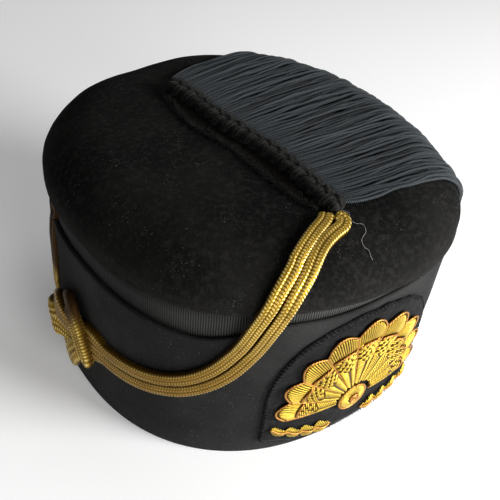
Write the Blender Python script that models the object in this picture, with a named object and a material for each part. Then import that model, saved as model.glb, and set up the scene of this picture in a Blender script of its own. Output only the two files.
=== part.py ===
"""Soft felt fez with a turned-up cuff, draped fringe, knotted gold cords and a badge.

The hat rests on its rim on z = 0. The badge faces -Y, the knot sits on the wearer's
right at -X, and the fringe hangs over the wearer's left at +X. Lengths are in metres.

Azimuth runs from the front (-Y) towards +X. Climb is the distance up the outside of
the hat, from the rim over the shoulder to the middle of the crown.
"""
from __future__ import annotations

import math
from bisect import bisect_left
from dataclasses import dataclass
from functools import lru_cache
from typing import Callable, Iterable, Sequence

import bmesh
import bpy
from mathutils import Vector

# Plan and height of the hat
PLAN_EXPONENT = 2.34            # 2 is an ellipse; more is squarer
RIM_HALF_WIDTH = 0.0905
RIM_HALF_LENGTH = 0.0890
BAND_TOP_HALF_WIDTH = 0.0895    # outer face of the cuff at the crown's lower edge
BAND_TOP_HALF_LENGTH = 0.0968
CROWN_HALF_WIDTH = 0.0910       # at the crown's widest line
CROWN_HALF_LENGTH = 0.0980
CROWN_EDGE_HEIGHT = 0.0903      # underside of the crown's overhang
CROWN_WIDEST_HEIGHT = 0.0938
SHOULDER_RISE = 0.0192
SHOULDER_INSET = 0.0295
TOP_RISE = 0.0014               # soft doming between the shoulders
DENT_DEPTH = 0.0060             # the strands press the felt in on the wearer's left
DENT_FRONT = math.radians(38)
DENT_BACK = math.radians(160)
DENT_FLANK = math.radians(22)
DENT_RUN_IN = 0.0045            # the dent deepens over this inset above the widest line
EDGE_DROP = 0.0050              # the soft crown's lower edge hangs this far below its full height
EDGE_RISE_AZIMUTH = math.radians(-27)   # the gold cord holds it up here
EDGE_RISE_SPREAD = math.radians(22)
BROW_RISE = 0.0016              # and the cuff's peak a little at the front
BROW_RISE_AZIMUTH = math.radians(5)
TOP_SHIFT = Vector((0.0006, -0.0005))   # the soft hat leans to its front left
WALL_COLUMNS = 60
SHOULDER_RINGS = 6
SHARP_ANGLE = math.radians(40)  # shading creases at edges turned by more than this

# Cloth thicknesses and the gap kept between pieces
GAP = 0.0003
CUFF_THICKNESS = 0.0020
RIBBON_THICKNESS = 0.0010
FELT_THICKNESS = 0.0020
PATCH_THICKNESS = 0.0015
STITCH_RELIEF = 0.0007          # embroidery at its outline, above the patch
PETAL_RELIEF = 0.0024           # embroidery over its padding

# Cuff, ribbon and the crown's wall behind them
CUFF_EDGE_ROUNDING = 0.0006
CUFF_SIDE_HEIGHT = 0.0730
CUFF_FRONT_HEIGHT = 0.0843
CUFF_PEAK_HALF_WIDTH = math.radians(22)     # the front's peak is level this far round
CUFF_PEAK_FOOT = math.radians(48)
CUFF_RING_HEIGHTS = (0.052, 0.026)
RIM_FOLD_HEIGHT = 0.0015
RIBBON_BOTTOM = 0.0650
RIBBON_TOP = 0.0900
WALL_STEP_START = 0.0570        # the crown's wall steps in here to clear the ribbon
WALL_STEP_END = 0.0640
WALL_RING_HEIGHT = 0.0300
OVERHANG_RUN = 0.0050           # trim starts to lift off the cuff this far below its top

# Badge, measured along the cuff's outer face from the middle of the front
BADGE_ARC_RADIUS = 0.0975
BADGE_SHIFT = -0.0020           # sewn on a little to the wearer's right
PATCH_MARGIN = 0.0045           # felt left round the embroidery
PATCH_BOTTOM = 0.0035
PATCH_CORNER_RISE = 0.0050
PATCH_SHOULDER = 0.0300
PATCH_SQUARENESS = 2.4
PATCH_COLUMNS = 18
PATCH_ROWS = 3
FAN_CENTRE_HEIGHT = 0.0250
FAN_HEIGHT = 0.0515
FAN_SIDE_LENGTH = 0.0410
FAN_ROOT = 0.0100
FAN_HALF_ANGLE = math.radians(91)
FAN_PETALS = 9
PETAL_COLUMNS = 4
PETAL_ROWS = 4
PETAL_NOTCH = 0.87              # reach between two petals, of the reach at their tips
PADDING_START = 0.22            # the padding's half wave, from root to tip
PADDING_END = 0.86
ROSETTE_RADIUS = 0.0082
ROSETTE_SIDES = 16
SPRAY_ROOT = 0.0100
SPRAY_TIP = 0.0410
SPRAY_HEIGHT = 0.0105
SPRAY_HALF_HEIGHT = 0.0052
SPRAY_LIFT = 0.0080             # the spray curves up towards its tip
SPRAY_LEAVES = 4
SPRAY_WAIST = 0.30              # height left between two leaves
SPRAY_TAPER = 0.62              # height of the outermost leaf, of the first
LEAF_COLUMNS = 4
LEAF_ROWS = 4

# Gold cord
CORD_WIDTH = 0.0052
CORD_THICKNESS = 0.0038
CORD_FLAT_SHARE = 0.55          # flat part of the cord's width
CORD_LIFT = 0.0006              # underside of a cord above the skin
CORD_PAIR_SPACING = 0.0056
KNOT_AZIMUTH = math.radians(-91.0)
KNOT_CLIMB = 0.0340
KNOT_TILT = math.radians(-18)
KNOT_SLANT = 0.20               # the bends lean rearward by this much of their height
KNOT_LAYER = 0.0024             # rise or fall of a cord from the middle layer
ROUTE_STEPS = 2                 # samples between two points of the route
KNOT_STEPS = 3                  # samples between two points of the knot

# Fringe
HEAD_FRONT = Vector((-0.0050, -0.0640))
HEAD_BACK = Vector((-0.0128, 0.0570))
FRINGE_FRONT_AZIMUTH = math.radians(47)
FRINGE_BACK_AZIMUTH = math.radians(140)
FRINGE_BOW = 0.0040             # the end strands bow away from the straight line
FRINGE_HEM_CLIMB = 0.0600
FRINGE_LIFT = 0.0006
STRAND_BED = 0.0026             # depth of the strands laid over one another
LOCK_RELIEF = 0.0010
LUMP_SHARE = 0.10               # rise and fall of the plaited head
LUMP_PHASE = 0.8
EDGE_SHARE = 0.60               # depth left at the two end strands
EDGE_RUN = 0.10                 # share of the fringe over which its ends thin out
LOCKS = 14
COLUMNS_BETWEEN_SLITS = 7
SKIN_SAMPLES = 80


@dataclass(frozen=True)
class Finish:
    """Surface of one kind of material."""

    name: str
    colour: tuple[float, float, float]
    roughness: float
    metallic: float = 0.0


FELT = Finish("black_felt", (0.0085, 0.0085, 0.0095), 0.95)
CUFF_CLOTH = Finish("wool_cloth", (0.016, 0.016, 0.017), 0.92)
GROSGRAIN = Finish("grosgrain", (0.030, 0.032, 0.033), 0.62)
PATCH_FELT = Finish("patch_felt", (0.010, 0.010, 0.011), 0.95)
BULLION = Finish("gold_bullion", (0.75, 0.47, 0.10), 0.36, 1.0)
GOLD_BRAID = Finish("gold_braid", (0.70, 0.47, 0.14), 0.40, 1.0)
FRINGE_CORD = Finish("fringe_cord", (0.055, 0.066, 0.075), 0.70)


# ---------------------------------------------------------------- the hat's outer form

def mix(start: float, end: float, share: float) -> float:
    """Value the given share of the way from start to end."""
    return start + (end - start) * share


def smooth_step(start: float, end: float, value: float) -> float:
    """Rise from 0 at start to 1 at end with level ends."""
    share = min(1.0, max(0.0, (value - start) / (end - start)))
    return share * share * (3.0 - 2.0 * share)


def plan_point(azimuth: float, half_width: float, half_length: float) -> Vector:
    """Point of the rounded plan outline at an azimuth."""
    across = math.sin(azimuth)
    along = math.cos(azimuth)
    reach = abs(across / half_width) ** PLAN_EXPONENT + abs(along / half_length) ** PLAN_EXPONENT
    radius = reach ** (-1.0 / PLAN_EXPONENT)
    return Vector((radius * across, -radius * along))


def plan_normal(plan: Vector, half_width: float, half_length: float) -> Vector:
    """Level unit normal of a rounded plan outline, pointing out at a plan point."""
    across = math.copysign(abs(plan.x / half_width) ** (PLAN_EXPONENT - 1.0) / half_width, plan.x)
    along = math.copysign(abs(plan.y / half_length) ** (PLAN_EXPONENT - 1.0) / half_length, plan.y)
    return Vector((across, along, 0.0)).normalized()


def band_axes(height: float) -> tuple[float, float]:
    """Half width and half length of the cuff's outer face at a height."""
    share = height / CROWN_EDGE_HEIGHT
    return (
        mix(RIM_HALF_WIDTH, BAND_TOP_HALF_WIDTH, share),
        mix(RIM_HALF_LENGTH, BAND_TOP_HALF_LENGTH, share),
    )


def band_point(azimuth: float, height: float, offset: float = 0.0) -> Vector:
    """Point at an offset outside the cuff's outer face."""
    half_width, half_length = band_axes(height)
    plan = plan_point(azimuth, half_width + offset, half_length + offset)
    plan += TOP_SHIFT * (height / CROWN_EDGE_HEIGHT)
    return Vector((plan.x, plan.y, height))


def crown_plan(azimuth: float, inset: float) -> Vector:
    """Plan point of the crown at an inset, pressed in under the fringe."""
    bearing = (azimuth + math.pi) % (2 * math.pi) - math.pi
    dent = smooth_step(DENT_FRONT, DENT_FRONT + DENT_FLANK, bearing)
    dent *= 1.0 - smooth_step(DENT_BACK - DENT_FLANK, DENT_BACK, bearing)
    dent *= smooth_step(-DENT_RUN_IN, DENT_RUN_IN, inset) * max(0.0, 1.0 - inset / SHOULDER_INSET)
    dent *= DENT_DEPTH
    return plan_point(azimuth, CROWN_HALF_WIDTH - inset - dent, CROWN_HALF_LENGTH - inset - dent)


def hump(azimuth: float, middle: float, spread: float) -> float:
    """Smooth rise to 1 at a middle azimuth."""
    away = (azimuth - middle + math.pi) % (2 * math.pi) - math.pi
    return math.exp(-(away / spread) ** 2)


def edge_drop(azimuth: float) -> float:
    """Sag of the crown's lower edge below its full height."""
    held = hump(azimuth, EDGE_RISE_AZIMUTH, EDGE_RISE_SPREAD)
    brow = hump(azimuth, BROW_RISE_AZIMUTH, EDGE_RISE_SPREAD)
    return max(0.0, EDGE_DROP * (1.0 - held) - BROW_RISE * brow)


def crown_point(azimuth: float, inset: float, height: float) -> Vector:
    """Point at an inset from the crown's widest outline."""
    return leaned(crown_plan(azimuth, inset), height)


def leaned(plan: Vector, height: float) -> Vector:
    """Point of the crown above a plan point, with the hat's lean."""
    place = plan + TOP_SHIFT
    return Vector((place.x, place.y, height))


SHOULDER_LENGTH = math.pi / 2 * math.hypot(SHOULDER_INSET, SHOULDER_RISE) / math.sqrt(2)
SHOULDER_END = CROWN_WIDEST_HEIGHT + SHOULDER_LENGTH
TOP_LENGTH = CROWN_HALF_WIDTH - SHOULDER_INSET
NEARLY_ALL = 0.98               # a point on the top stops this near to the crown's middle


def top_height(inset: float) -> float:
    """Height of the crown inside the shoulder."""
    share = min(1.0, (inset - SHOULDER_INSET) / TOP_LENGTH)
    return CROWN_WIDEST_HEIGHT + SHOULDER_RISE + TOP_RISE * (1.0 - (1.0 - share) ** 2)


def outer_point(azimuth: float, climb: float) -> Vector:
    """Point on the smooth skin that trim lies on, bridging the crown's overhang."""
    if climb <= CROWN_WIDEST_HEIGHT:
        drop = edge_drop(azimuth)
        bulge = smooth_step(CUFF_SIDE_HEIGHT - OVERHANG_RUN - drop, CROWN_WIDEST_HEIGHT - drop, climb)
        low = band_point(azimuth, min(climb, CROWN_EDGE_HEIGHT))
        high = crown_point(azimuth, 0.0, climb)
        blend = low.lerp(high, bulge)
        return Vector((blend.x, blend.y, climb))
    if climb <= SHOULDER_END:
        turn = (climb - CROWN_WIDEST_HEIGHT) / SHOULDER_LENGTH * math.pi / 2
        inset = SHOULDER_INSET * (1.0 - math.cos(turn))
        return crown_point(azimuth, inset, CROWN_WIDEST_HEIGHT + SHOULDER_RISE * math.sin(turn))
    inset = SHOULDER_INSET + min(climb - SHOULDER_END, TOP_LENGTH * NEARLY_ALL)
    return crown_point(azimuth, inset, top_height(inset))


def outer_normal(azimuth: float, climb: float) -> Vector:
    """Unit normal of the smooth skin, pointing away from the hat."""
    step = 0.0008
    turn = 0.01
    around = outer_point(azimuth + turn, climb) - outer_point(azimuth - turn, climb)
    upwards = outer_point(azimuth, climb + step) - outer_point(azimuth, climb - step)
    return around.cross(upwards).normalized()


def lifted_point(azimuth: float, climb: float, lift: float) -> Vector:
    """Point at a distance off the smooth skin."""
    return outer_point(azimuth, climb) + outer_normal(azimuth, climb) * lift


def skin_over(plan: Vector) -> tuple[Vector, Vector]:
    """Point and normal of the crown above a plan point."""
    azimuth = math.atan2(plan.x, -plan.y)
    low, high = 0.0, CROWN_HALF_WIDTH * NEARLY_ALL
    halvings = 40
    for _ in range(halvings):
        inset = (low + high) / 2
        if crown_plan(azimuth, inset).length > plan.length:
            low = inset
        else:
            high = inset
    outward = plan_normal(plan, CROWN_HALF_WIDTH - inset, CROWN_HALF_LENGTH - inset)
    if inset >= SHOULDER_INSET:
        return leaned(plan, top_height(inset)), Vector((0.0, 0.0, 1.0))
    turn = math.acos(1.0 - inset / SHOULDER_INSET)
    height = CROWN_WIDEST_HEIGHT + SHOULDER_RISE * math.sin(turn)
    normal = outward * (math.cos(turn) / SHOULDER_INSET)
    normal.z = math.sin(turn) / SHOULDER_RISE
    return leaned(plan, height), normal.normalized()


# ---------------------------------------------------------------- mesh helpers

def make_material(finish: Finish) -> bpy.types.Material:
    """Principled material of one finish."""
    material = bpy.data.materials.new(finish.name)
    material.use_nodes = True
    shader = material.node_tree.nodes["Principled BSDF"]
    shader.inputs["Base Color"].default_value = (*finish.colour, 1.0)
    shader.inputs["Roughness"].default_value = finish.roughness
    shader.inputs["Metallic"].default_value = finish.metallic
    return material


def make_object(
    name: str, mesh_builder: bmesh.types.BMesh, finish: Finish, root: bpy.types.Object
) -> bpy.types.Object:
    """Turn a finished bmesh into a smooth-shaded object under the hat's root."""
    bmesh.ops.recalc_face_normals(mesh_builder, faces=mesh_builder.faces[:])
    mesh = bpy.data.meshes.new(name)
    mesh_builder.to_mesh(mesh)
    mesh_builder.free()
    mesh.shade_smooth()
    mesh.set_sharp_from_angle(angle=SHARP_ANGLE)
    mesh.materials.append(make_material(finish))
    piece = bpy.data.objects.new(name, mesh)
    bpy.context.scene.collection.objects.link(piece)
    piece.parent = root
    return piece


def add_ring(mesh_builder: bmesh.types.BMesh, points: Iterable[Vector]) -> list[bmesh.types.BMVert]:
    """Add one ring of vertices."""
    return [mesh_builder.verts.new(point) for point in points]


def bridge(mesh_builder: bmesh.types.BMesh, first: Sequence, second: Sequence) -> None:
    """Join two closed rings of equal length with quads."""
    count = len(first)
    for index in range(count):
        after = (index + 1) % count
        mesh_builder.faces.new((first[index], first[after], second[after], second[index]))


def loop_azimuths() -> list[float]:
    """Azimuths of the columns round the hat."""
    return [2 * math.pi * column / WALL_COLUMNS for column in range(WALL_COLUMNS)]


def hoop(section: Callable[[float], list[Vector]]) -> bmesh.types.BMesh:
    """Sweep a closed section, given for each azimuth, once round the hat."""
    mesh_builder = bmesh.new()
    rings = [add_ring(mesh_builder, section(azimuth)) for azimuth in loop_azimuths()]
    for index, ring in enumerate(rings):
        bridge(mesh_builder, ring, rings[(index + 1) % len(rings)])
    return mesh_builder


def relief(
    columns: int,
    rows: int,
    place: Callable[[float, float, bool], Vector],
    keep: Callable[[int, int], bool] = lambda column, row: True,
) -> bmesh.types.BMesh:
    """Thick sheet over a grid of cells.

    Args:
        columns: Cells across the sheet.
        rows: Cells along the sheet.
        place: Point at shares (across, along) of the sheet, on its top or underside.
        keep: Whether the sheet has the cell; cells left out are slits.
    """
    mesh_builder = bmesh.new()
    across_layer = mesh_builder.verts.layers.float.new("across")
    along_layer = mesh_builder.verts.layers.float.new("along")
    grid = []
    for row in range(rows + 1):
        line = []
        for column in range(columns + 1):
            vertex = mesh_builder.verts.new(place(column / columns, row / rows, False))
            vertex[across_layer] = column / columns
            vertex[along_layer] = row / rows
            line.append(vertex)
        grid.append(line)
    for row in range(rows):
        for column in range(columns):
            if keep(column, row):
                low, high = grid[row], grid[row + 1]
                mesh_builder.faces.new((low[column], low[column + 1], high[column + 1], high[column]))
    loose = [vertex for vertex in mesh_builder.verts if not vertex.link_faces]
    bmesh.ops.delete(mesh_builder, geom=loose, context="VERTS")
    raised = bmesh.ops.extrude_face_region(mesh_builder, geom=mesh_builder.faces[:])
    for element in raised["geom"]:
        if isinstance(element, bmesh.types.BMVert):
            element.co = place(element[across_layer], element[along_layer], True)
    return mesh_builder


# ---------------------------------------------------------------- crown, ribbon and cuff

def crown_wall_offset(height: float) -> float:
    """Offset of the crown's wall inside the cuff, stepping in behind the ribbon."""
    snug = -(CUFF_THICKNESS + GAP)
    behind_ribbon = snug - RIBBON_THICKNESS - GAP
    return mix(snug, behind_ribbon, smooth_step(WALL_STEP_START, WALL_STEP_END, height))


@dataclass(frozen=True)
class LipPoint:
    """Point of the crown's rounded lower edge, as shares of its overhang."""

    out: float
    up: float


LIP_ROUNDING = (LipPoint(0.14, 0.04), LipPoint(0.60, 0.08), LipPoint(0.90, 0.42))


def crown_rings() -> list[list[Vector]]:
    """Rings of the crown's outer face from its lower end to just short of the middle."""
    azimuths = loop_azimuths()
    wall_start = RIM_FOLD_HEIGHT + GAP
    wall_end = CROWN_EDGE_HEIGHT - GAP / 3
    wall_heights = (wall_start, WALL_RING_HEIGHT, WALL_STEP_START, WALL_STEP_END, wall_end)
    rings = []
    for height in wall_heights[:-1]:
        offset = crown_wall_offset(height)
        rings.append([band_point(azimuth, height, offset) for azimuth in azimuths])
    offset = crown_wall_offset(wall_end)
    rings.append([band_point(azimuth, wall_end - edge_drop(azimuth), offset) for azimuth in azimuths])
    for lip in LIP_ROUNDING:
        height = mix(CROWN_EDGE_HEIGHT, CROWN_WIDEST_HEIGHT, lip.up)
        ring = []
        for azimuth in azimuths:
            wall = band_point(azimuth, CROWN_EDGE_HEIGHT - edge_drop(azimuth), offset)
            widest = crown_point(azimuth, 0.0, height)
            ring.append(Vector((*wall.lerp(widest, lip.out).xy, height - edge_drop(azimuth))))
        rings.append(ring)
    rings.append([
        crown_point(azimuth, 0.0, CROWN_WIDEST_HEIGHT - edge_drop(azimuth)) for azimuth in azimuths
    ])
    for step in range(1, SHOULDER_RINGS + 1):
        climb = mix(CROWN_WIDEST_HEIGHT, SHOULDER_END, step / SHOULDER_RINGS)
        rings.append([outer_point(azimuth, climb) for azimuth in azimuths])
    last_ring_share = 0.6
    last_climb = SHOULDER_END + TOP_LENGTH * last_ring_share
    rings.append([outer_point(azimuth, last_climb) for azimuth in azimuths])
    return rings


def build_crown(root: bpy.types.Object) -> None:
    """Felt hood, its wall running down inside the cuff to the rim fold."""
    mesh_builder = bmesh.new()
    rings = [add_ring(mesh_builder, ring) for ring in crown_rings()]
    for low, high in zip(rings, rings[1:]):
        bridge(mesh_builder, low, high)
    middle = mesh_builder.verts.new(leaned(Vector((0.0, 0.0)), top_height(CROWN_HALF_WIDTH)))
    last = rings[-1]
    for index, vertex in enumerate(last):
        mesh_builder.faces.new((vertex, last[(index + 1) % len(last)], middle))
    crown = make_object("crown", mesh_builder, FELT, root)
    felt = crown.modifiers.new("felt_thickness", "SOLIDIFY")
    felt.thickness = FELT_THICKNESS
    felt.offset = -1.0
    felt.use_even_offset = True
    felt.use_quality_normals = True


def cuff_top(azimuth: float) -> float:
    """Height of the cuff's top edge, which rises to a low peak behind the badge."""
    bearing = abs((azimuth + math.pi) % (2 * math.pi) - math.pi)
    peak = 1.0 - smooth_step(CUFF_PEAK_HALF_WIDTH, CUFF_PEAK_FOOT, bearing)
    return mix(CUFF_SIDE_HEIGHT, CUFF_FRONT_HEIGHT, peak)


def cuff_section(azimuth: float) -> list[Vector]:
    """Closed section of the cuff with its fold under the crown's wall at the rim."""
    top = cuff_top(azimuth)
    rounding = CUFF_EDGE_ROUNDING
    inner = -CUFF_THICKNESS
    fold_inner = -(CUFF_THICKNESS + GAP + FELT_THICKNESS)
    wall_heights = (top - rounding, *CUFF_RING_HEIGHTS)
    outline = [
        (-rounding, 0.0),
        (fold_inner + rounding, 0.0),
        (fold_inner, rounding),
        (fold_inner, RIM_FOLD_HEIGHT),
        (inner, RIM_FOLD_HEIGHT),
    ]
    outline += [(inner, height) for height in reversed(wall_heights)]
    outline += [(inner + rounding, top), (-rounding, top)]
    outline += [(0.0, height) for height in wall_heights]
    outline += [(0.0, rounding)]
    return [band_point(azimuth, height, offset) for offset, height in outline]


def ribbon_section(azimuth: float) -> list[Vector]:
    """Closed section of the ribbon, between the crown's wall and the cuff."""
    outer = -(CUFF_THICKNESS + GAP)
    inner = outer - RIBBON_THICKNESS
    top = RIBBON_TOP - edge_drop(azimuth)
    outline = ((inner, RIBBON_BOTTOM), (inner, top), (outer, top), (outer, RIBBON_BOTTOM))
    return [band_point(azimuth, height, offset) for offset, height in outline]


# ---------------------------------------------------------------- badge

def badge_point(across: float, height: float, offset: float) -> Vector:
    """Point over the cuff's front, at a distance across measured along the cloth."""
    return band_point((across + BADGE_SHIFT) / BADGE_ARC_RADIUS, height, offset)


def patch_place(across: float, along: float, top: bool) -> Vector:
    """Padded backing, cut to a margin round the fan, with a shallow curve below."""
    side = 2.0 * across - 1.0
    low = PATCH_BOTTOM + PATCH_CORNER_RISE * abs(side) ** 3
    arch = (1.0 - abs(side) ** PATCH_SQUARENESS) ** (1.0 / PATCH_SQUARENESS)
    high = mix(PATCH_SHOULDER, FAN_CENTRE_HEIGHT + FAN_HEIGHT + PATCH_MARGIN, arch)
    offset = GAP + (PATCH_THICKNESS if top else 0.0)
    return badge_point(side * (FAN_SIDE_LENGTH + PATCH_MARGIN), mix(low, high, along), offset)


def fan_reach(bearing: float) -> float:
    """Length of the fan at a bearing from straight up."""
    share = math.sin(bearing) ** 2
    return mix(FAN_HEIGHT, FAN_SIDE_LENGTH, share)


def fan_place(across: float, along: float, top: bool) -> Vector:
    """Fan of padded petals with rounded tips."""
    bearing = mix(-FAN_HALF_ANGLE, FAN_HALF_ANGLE, across)
    across_petal = abs(math.sin(math.pi * FAN_PETALS * across))
    reach = mix(FAN_ROOT, fan_reach(bearing) * mix(PETAL_NOTCH, 1.0, across_petal), along)
    padding = across_petal * math.sin(math.pi * mix(PADDING_START, PADDING_END, along))
    height = STITCH_RELIEF + (PETAL_RELIEF - STITCH_RELIEF) * padding
    offset = 2 * GAP + PATCH_THICKNESS + (height if top else 0.0)
    side = reach * math.sin(bearing)
    return badge_point(side, FAN_CENTRE_HEIGHT + reach * math.cos(bearing), offset)


def build_rosette(root: bpy.types.Object) -> None:
    """Low domed boss at the root of the fan."""
    mesh_builder = bmesh.new()
    base = 2 * GAP + PATCH_THICKNESS
    # Each entry is a share of the radius and a share of the padding's height.
    profile = ((1.0, 0.0), (1.0, 0.30), (0.72, 0.85), (0.30, 1.10))
    rings = []
    for radius_share, rise_share in profile:
        ring = []
        for side in range(ROSETTE_SIDES):
            bearing = 2 * math.pi * side / ROSETTE_SIDES
            across = ROSETTE_RADIUS * radius_share * math.sin(bearing)
            height = FAN_CENTRE_HEIGHT + ROSETTE_RADIUS * radius_share * math.cos(bearing)
            ring.append(badge_point(across, height, base + PETAL_RELIEF * rise_share))
        rings.append(add_ring(mesh_builder, ring))
    for low, high in zip(rings, rings[1:]):
        bridge(mesh_builder, low, high)
    mesh_builder.faces.new(rings[0])
    mesh_builder.faces.new(rings[-1])
    bmesh.ops.triangulate(mesh_builder, faces=mesh_builder.faces[:])
    make_object("badge_rosette", mesh_builder, BULLION, root)


def spray_place(side: int) -> Callable[[float, float, bool], Vector]:
    """Placing function of the leaf spray on one side of the rosette."""

    def place(across: float, along: float, top: bool) -> Vector:
        leaf = abs(math.sin(math.pi * SPRAY_LEAVES * along))
        half_height = SPRAY_HALF_HEIGHT * mix(SPRAY_WAIST, 1.0, leaf) * mix(1.0, SPRAY_TAPER, along)
        swing = 2.0 * across - 1.0
        centre = SPRAY_HEIGHT + SPRAY_LIFT * along ** 2
        padding = leaf * (1.0 - swing * swing)
        height = STITCH_RELIEF + (PETAL_RELIEF - STITCH_RELIEF) * padding
        offset = 2 * GAP + PATCH_THICKNESS + (height if top else 0.0)
        return badge_point(side * mix(SPRAY_ROOT, SPRAY_TIP, along), centre + swing * half_height, offset)

    return place


# ---------------------------------------------------------------- gold cords

@dataclass(frozen=True)
class RoutePoint:
    """Place of a cord pair's centre line on the hat."""

    azimuth: float      # degrees
    climb: float


# From the fringe's front end down to the knot.
FRONT_ROUTE = (
    RoutePoint(-8.6, 0.1292),
    RoutePoint(-16.6, 0.1215),
    RoutePoint(-23.2, 0.1125),
    RoutePoint(-27.2, 0.1027),
    RoutePoint(-31.0, 0.0880),
    RoutePoint(-35.0, 0.0710),
    RoutePoint(-40.5, 0.0570),
    RoutePoint(-48.0, 0.0464),
    RoutePoint(-57.0, 0.0401),
    RoutePoint(-67.0, 0.0374),
)


# From under the crown's edge, behind the knot, down to the knot.
REAR_ROUTE = (
    RoutePoint(-111.0, 0.0845),
    RoutePoint(-110.5, 0.0740),
    RoutePoint(-110.5, 0.0640),
    RoutePoint(-110.5, 0.0540),
    RoutePoint(-111.5, 0.0440),
    RoutePoint(-112.0, 0.0345),
    RoutePoint(-108.5, 0.0275),
)


@dataclass(frozen=True)
class KnotPoint:
    """Place of a cord in the knot, from its centre: rearwards, upwards and layer."""

    rearward: float
    upward: float
    layer: float        # 1 is over, -1 is under, 0 is between


# Upper half of the front hairpin, from its leg to the middle of its bend. The lower
# half mirrors it, and the rear hairpin is the same turned end for end, over for under.
KNOT_HALF = (
    KnotPoint(-0.0155, 0.0029, -1.0),
    KnotPoint(-0.0075, 0.0040, -0.4),
    KnotPoint(0.0000, 0.0096, 1.0),
    KnotPoint(0.0064, 0.0140, 0.3),
    KnotPoint(0.0122, 0.0120, -0.9),
    KnotPoint(0.0148, 0.0062, -1.0),
    KnotPoint(0.0154, 0.0000, -1.0),
)


@dataclass(frozen=True)
class Footing:
    """Point of a cord's centre line and the hat's normal below it."""

    centre: Vector
    normal: Vector


def smooth_between(points: Sequence[Vector], steps: Sequence[int]) -> list[Vector]:
    """Catmull-Rom curve through points, with a number of samples for each stretch."""
    curve = []
    for index, count in enumerate(steps):
        before = points[max(index - 1, 0)]
        start, end = points[index], points[index + 1]
        after = points[min(index + 2, len(points) - 1)]
        for step in range(count):
            t = step / count
            pull = (end - before) * t + (2 * before - 5 * start + 4 * end - after) * t ** 2
            pull += (3 * start - before - 3 * end + after) * t ** 3
            curve.append(start + pull * 0.5)
    curve.append(points[-1])
    return curve


def knot_place(point: KnotPoint, rear: bool, lower: bool) -> Vector:
    """Azimuth, climb and lift of a point of the knot."""
    rearward, upward, layer = point.rearward, point.upward, point.layer
    if lower:
        upward = -upward
    if rear:
        rearward, layer = -rearward, -layer
    rearward += KNOT_SLANT * upward
    along = rearward * math.cos(KNOT_TILT) - upward * math.sin(KNOT_TILT)
    above = rearward * math.sin(KNOT_TILT) + upward * math.cos(KNOT_TILT)
    lift = CORD_LIFT + CORD_THICKNESS / 2 + KNOT_LAYER * (1.0 + layer)
    return Vector((KNOT_AZIMUTH - along / RIM_HALF_WIDTH, KNOT_CLIMB + above, lift))


def cord_route(rear: bool) -> tuple[RoutePoint, ...]:
    """Route of one cord pair, ending at the knot."""
    return REAR_ROUTE if rear else FRONT_ROUTE


def pair_place(index: int, rear: bool, lower: bool) -> Vector:
    """Azimuth, climb and lift of one cord of the pair at a point of its route."""
    route = [(math.radians(point.azimuth), point.climb) for point in cord_route(rear)]
    before, after = route[max(index - 1, 0)], route[min(index + 1, len(route) - 1)]
    around = (after[0] - before[0]) * CROWN_HALF_WIDTH
    up = after[1] - before[1]
    length = math.hypot(around, up)
    shift = CORD_PAIR_SPACING / 2 * (1 if lower == rear else -1)
    azimuth = route[index][0] + shift * up / length / CROWN_HALF_WIDTH
    climb = route[index][1] - shift * around / length
    return Vector((azimuth, climb, CORD_LIFT + CORD_THICKNESS / 2))


def hairpin(rear: bool) -> list[Footing]:
    """Centre line of one doubled cord, down one leg, round its bend and back."""
    halves = []
    for lower in (False, True):
        leg = [pair_place(index, rear, lower) for index in range(len(cord_route(rear)))]
        bend = [knot_place(point, rear, lower) for point in KNOT_HALF]
        steps = [ROUTE_STEPS] * len(leg) + [KNOT_STEPS] * (len(bend) - 1)
        halves.append(smooth_between(leg + bend, steps))
    places = halves[0] + halves[1][-2::-1]
    return [
        Footing(lifted_point(azimuth, climb, lift), outer_normal(azimuth, climb))
        for azimuth, climb, lift in places
    ]


def cord_section() -> list[tuple[float, float]]:
    """Across and upward offsets of a cord's flattened six-sided section."""
    half_width, half_depth = CORD_WIDTH / 2, CORD_THICKNESS / 2
    flat = half_width * CORD_FLAT_SHARE
    return [
        (half_width, 0.0),
        (flat, half_depth),
        (-flat, half_depth),
        (-half_width, 0.0),
        (-flat, -half_depth),
        (flat, -half_depth),
    ]


def build_cord(name: str, rear: bool, root: bpy.types.Object) -> None:
    """Sweep the cord's section along its hairpin and close both ends."""
    mesh_builder = bmesh.new()
    line = hairpin(rear)
    section = cord_section()
    rings = []
    for index, footing in enumerate(line):
        before = line[max(index - 1, 0)].centre
        after = line[min(index + 1, len(line) - 1)].centre
        forward = (after - before).normalized()
        sideways = forward.cross(footing.normal).normalized()
        upward = sideways.cross(forward)
        rings.append(add_ring(mesh_builder, [
            footing.centre + sideways * across + upward * rise for across, rise in section
        ]))
    for first, second in zip(rings, rings[1:]):
        bridge(mesh_builder, first, second)
    mesh_builder.faces.new(rings[0])
    mesh_builder.faces.new(rings[-1])
    make_object(name, mesh_builder, GOLD_BRAID, root)


# ---------------------------------------------------------------- fringe

@dataclass(frozen=True)
class FringeRow:
    """One row of the fringe across its head and down its strands."""

    reach: float        # from the head's middle towards the wearer's left
    depth: float
    lumps: float = 0.0  # share of the plait's lumps
    locks: float = 0.0  # share of the locks' relief


HEAD_ROWS = (
    FringeRow(-0.0095, 0.0008),
    FringeRow(-0.0080, 0.0026, lumps=0.4),
    FringeRow(-0.0060, 0.0024, lumps=0.3),
    FringeRow(-0.0048, 0.0010),
    FringeRow(-0.0034, 0.0046, lumps=0.8),
    FringeRow(-0.0005, 0.0066, lumps=1.0),
    FringeRow(0.0028, 0.0056, lumps=0.8),
    FringeRow(0.0045, 0.0034, locks=1.0),
)
DRAPE_ROWS = 12
FRINGE_ROWS = len(HEAD_ROWS) - 1 + DRAPE_ROWS
HEM_ROWS = 2
TURN_WEIGHT = 0.030             # length that one radian of turn counts for


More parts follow.
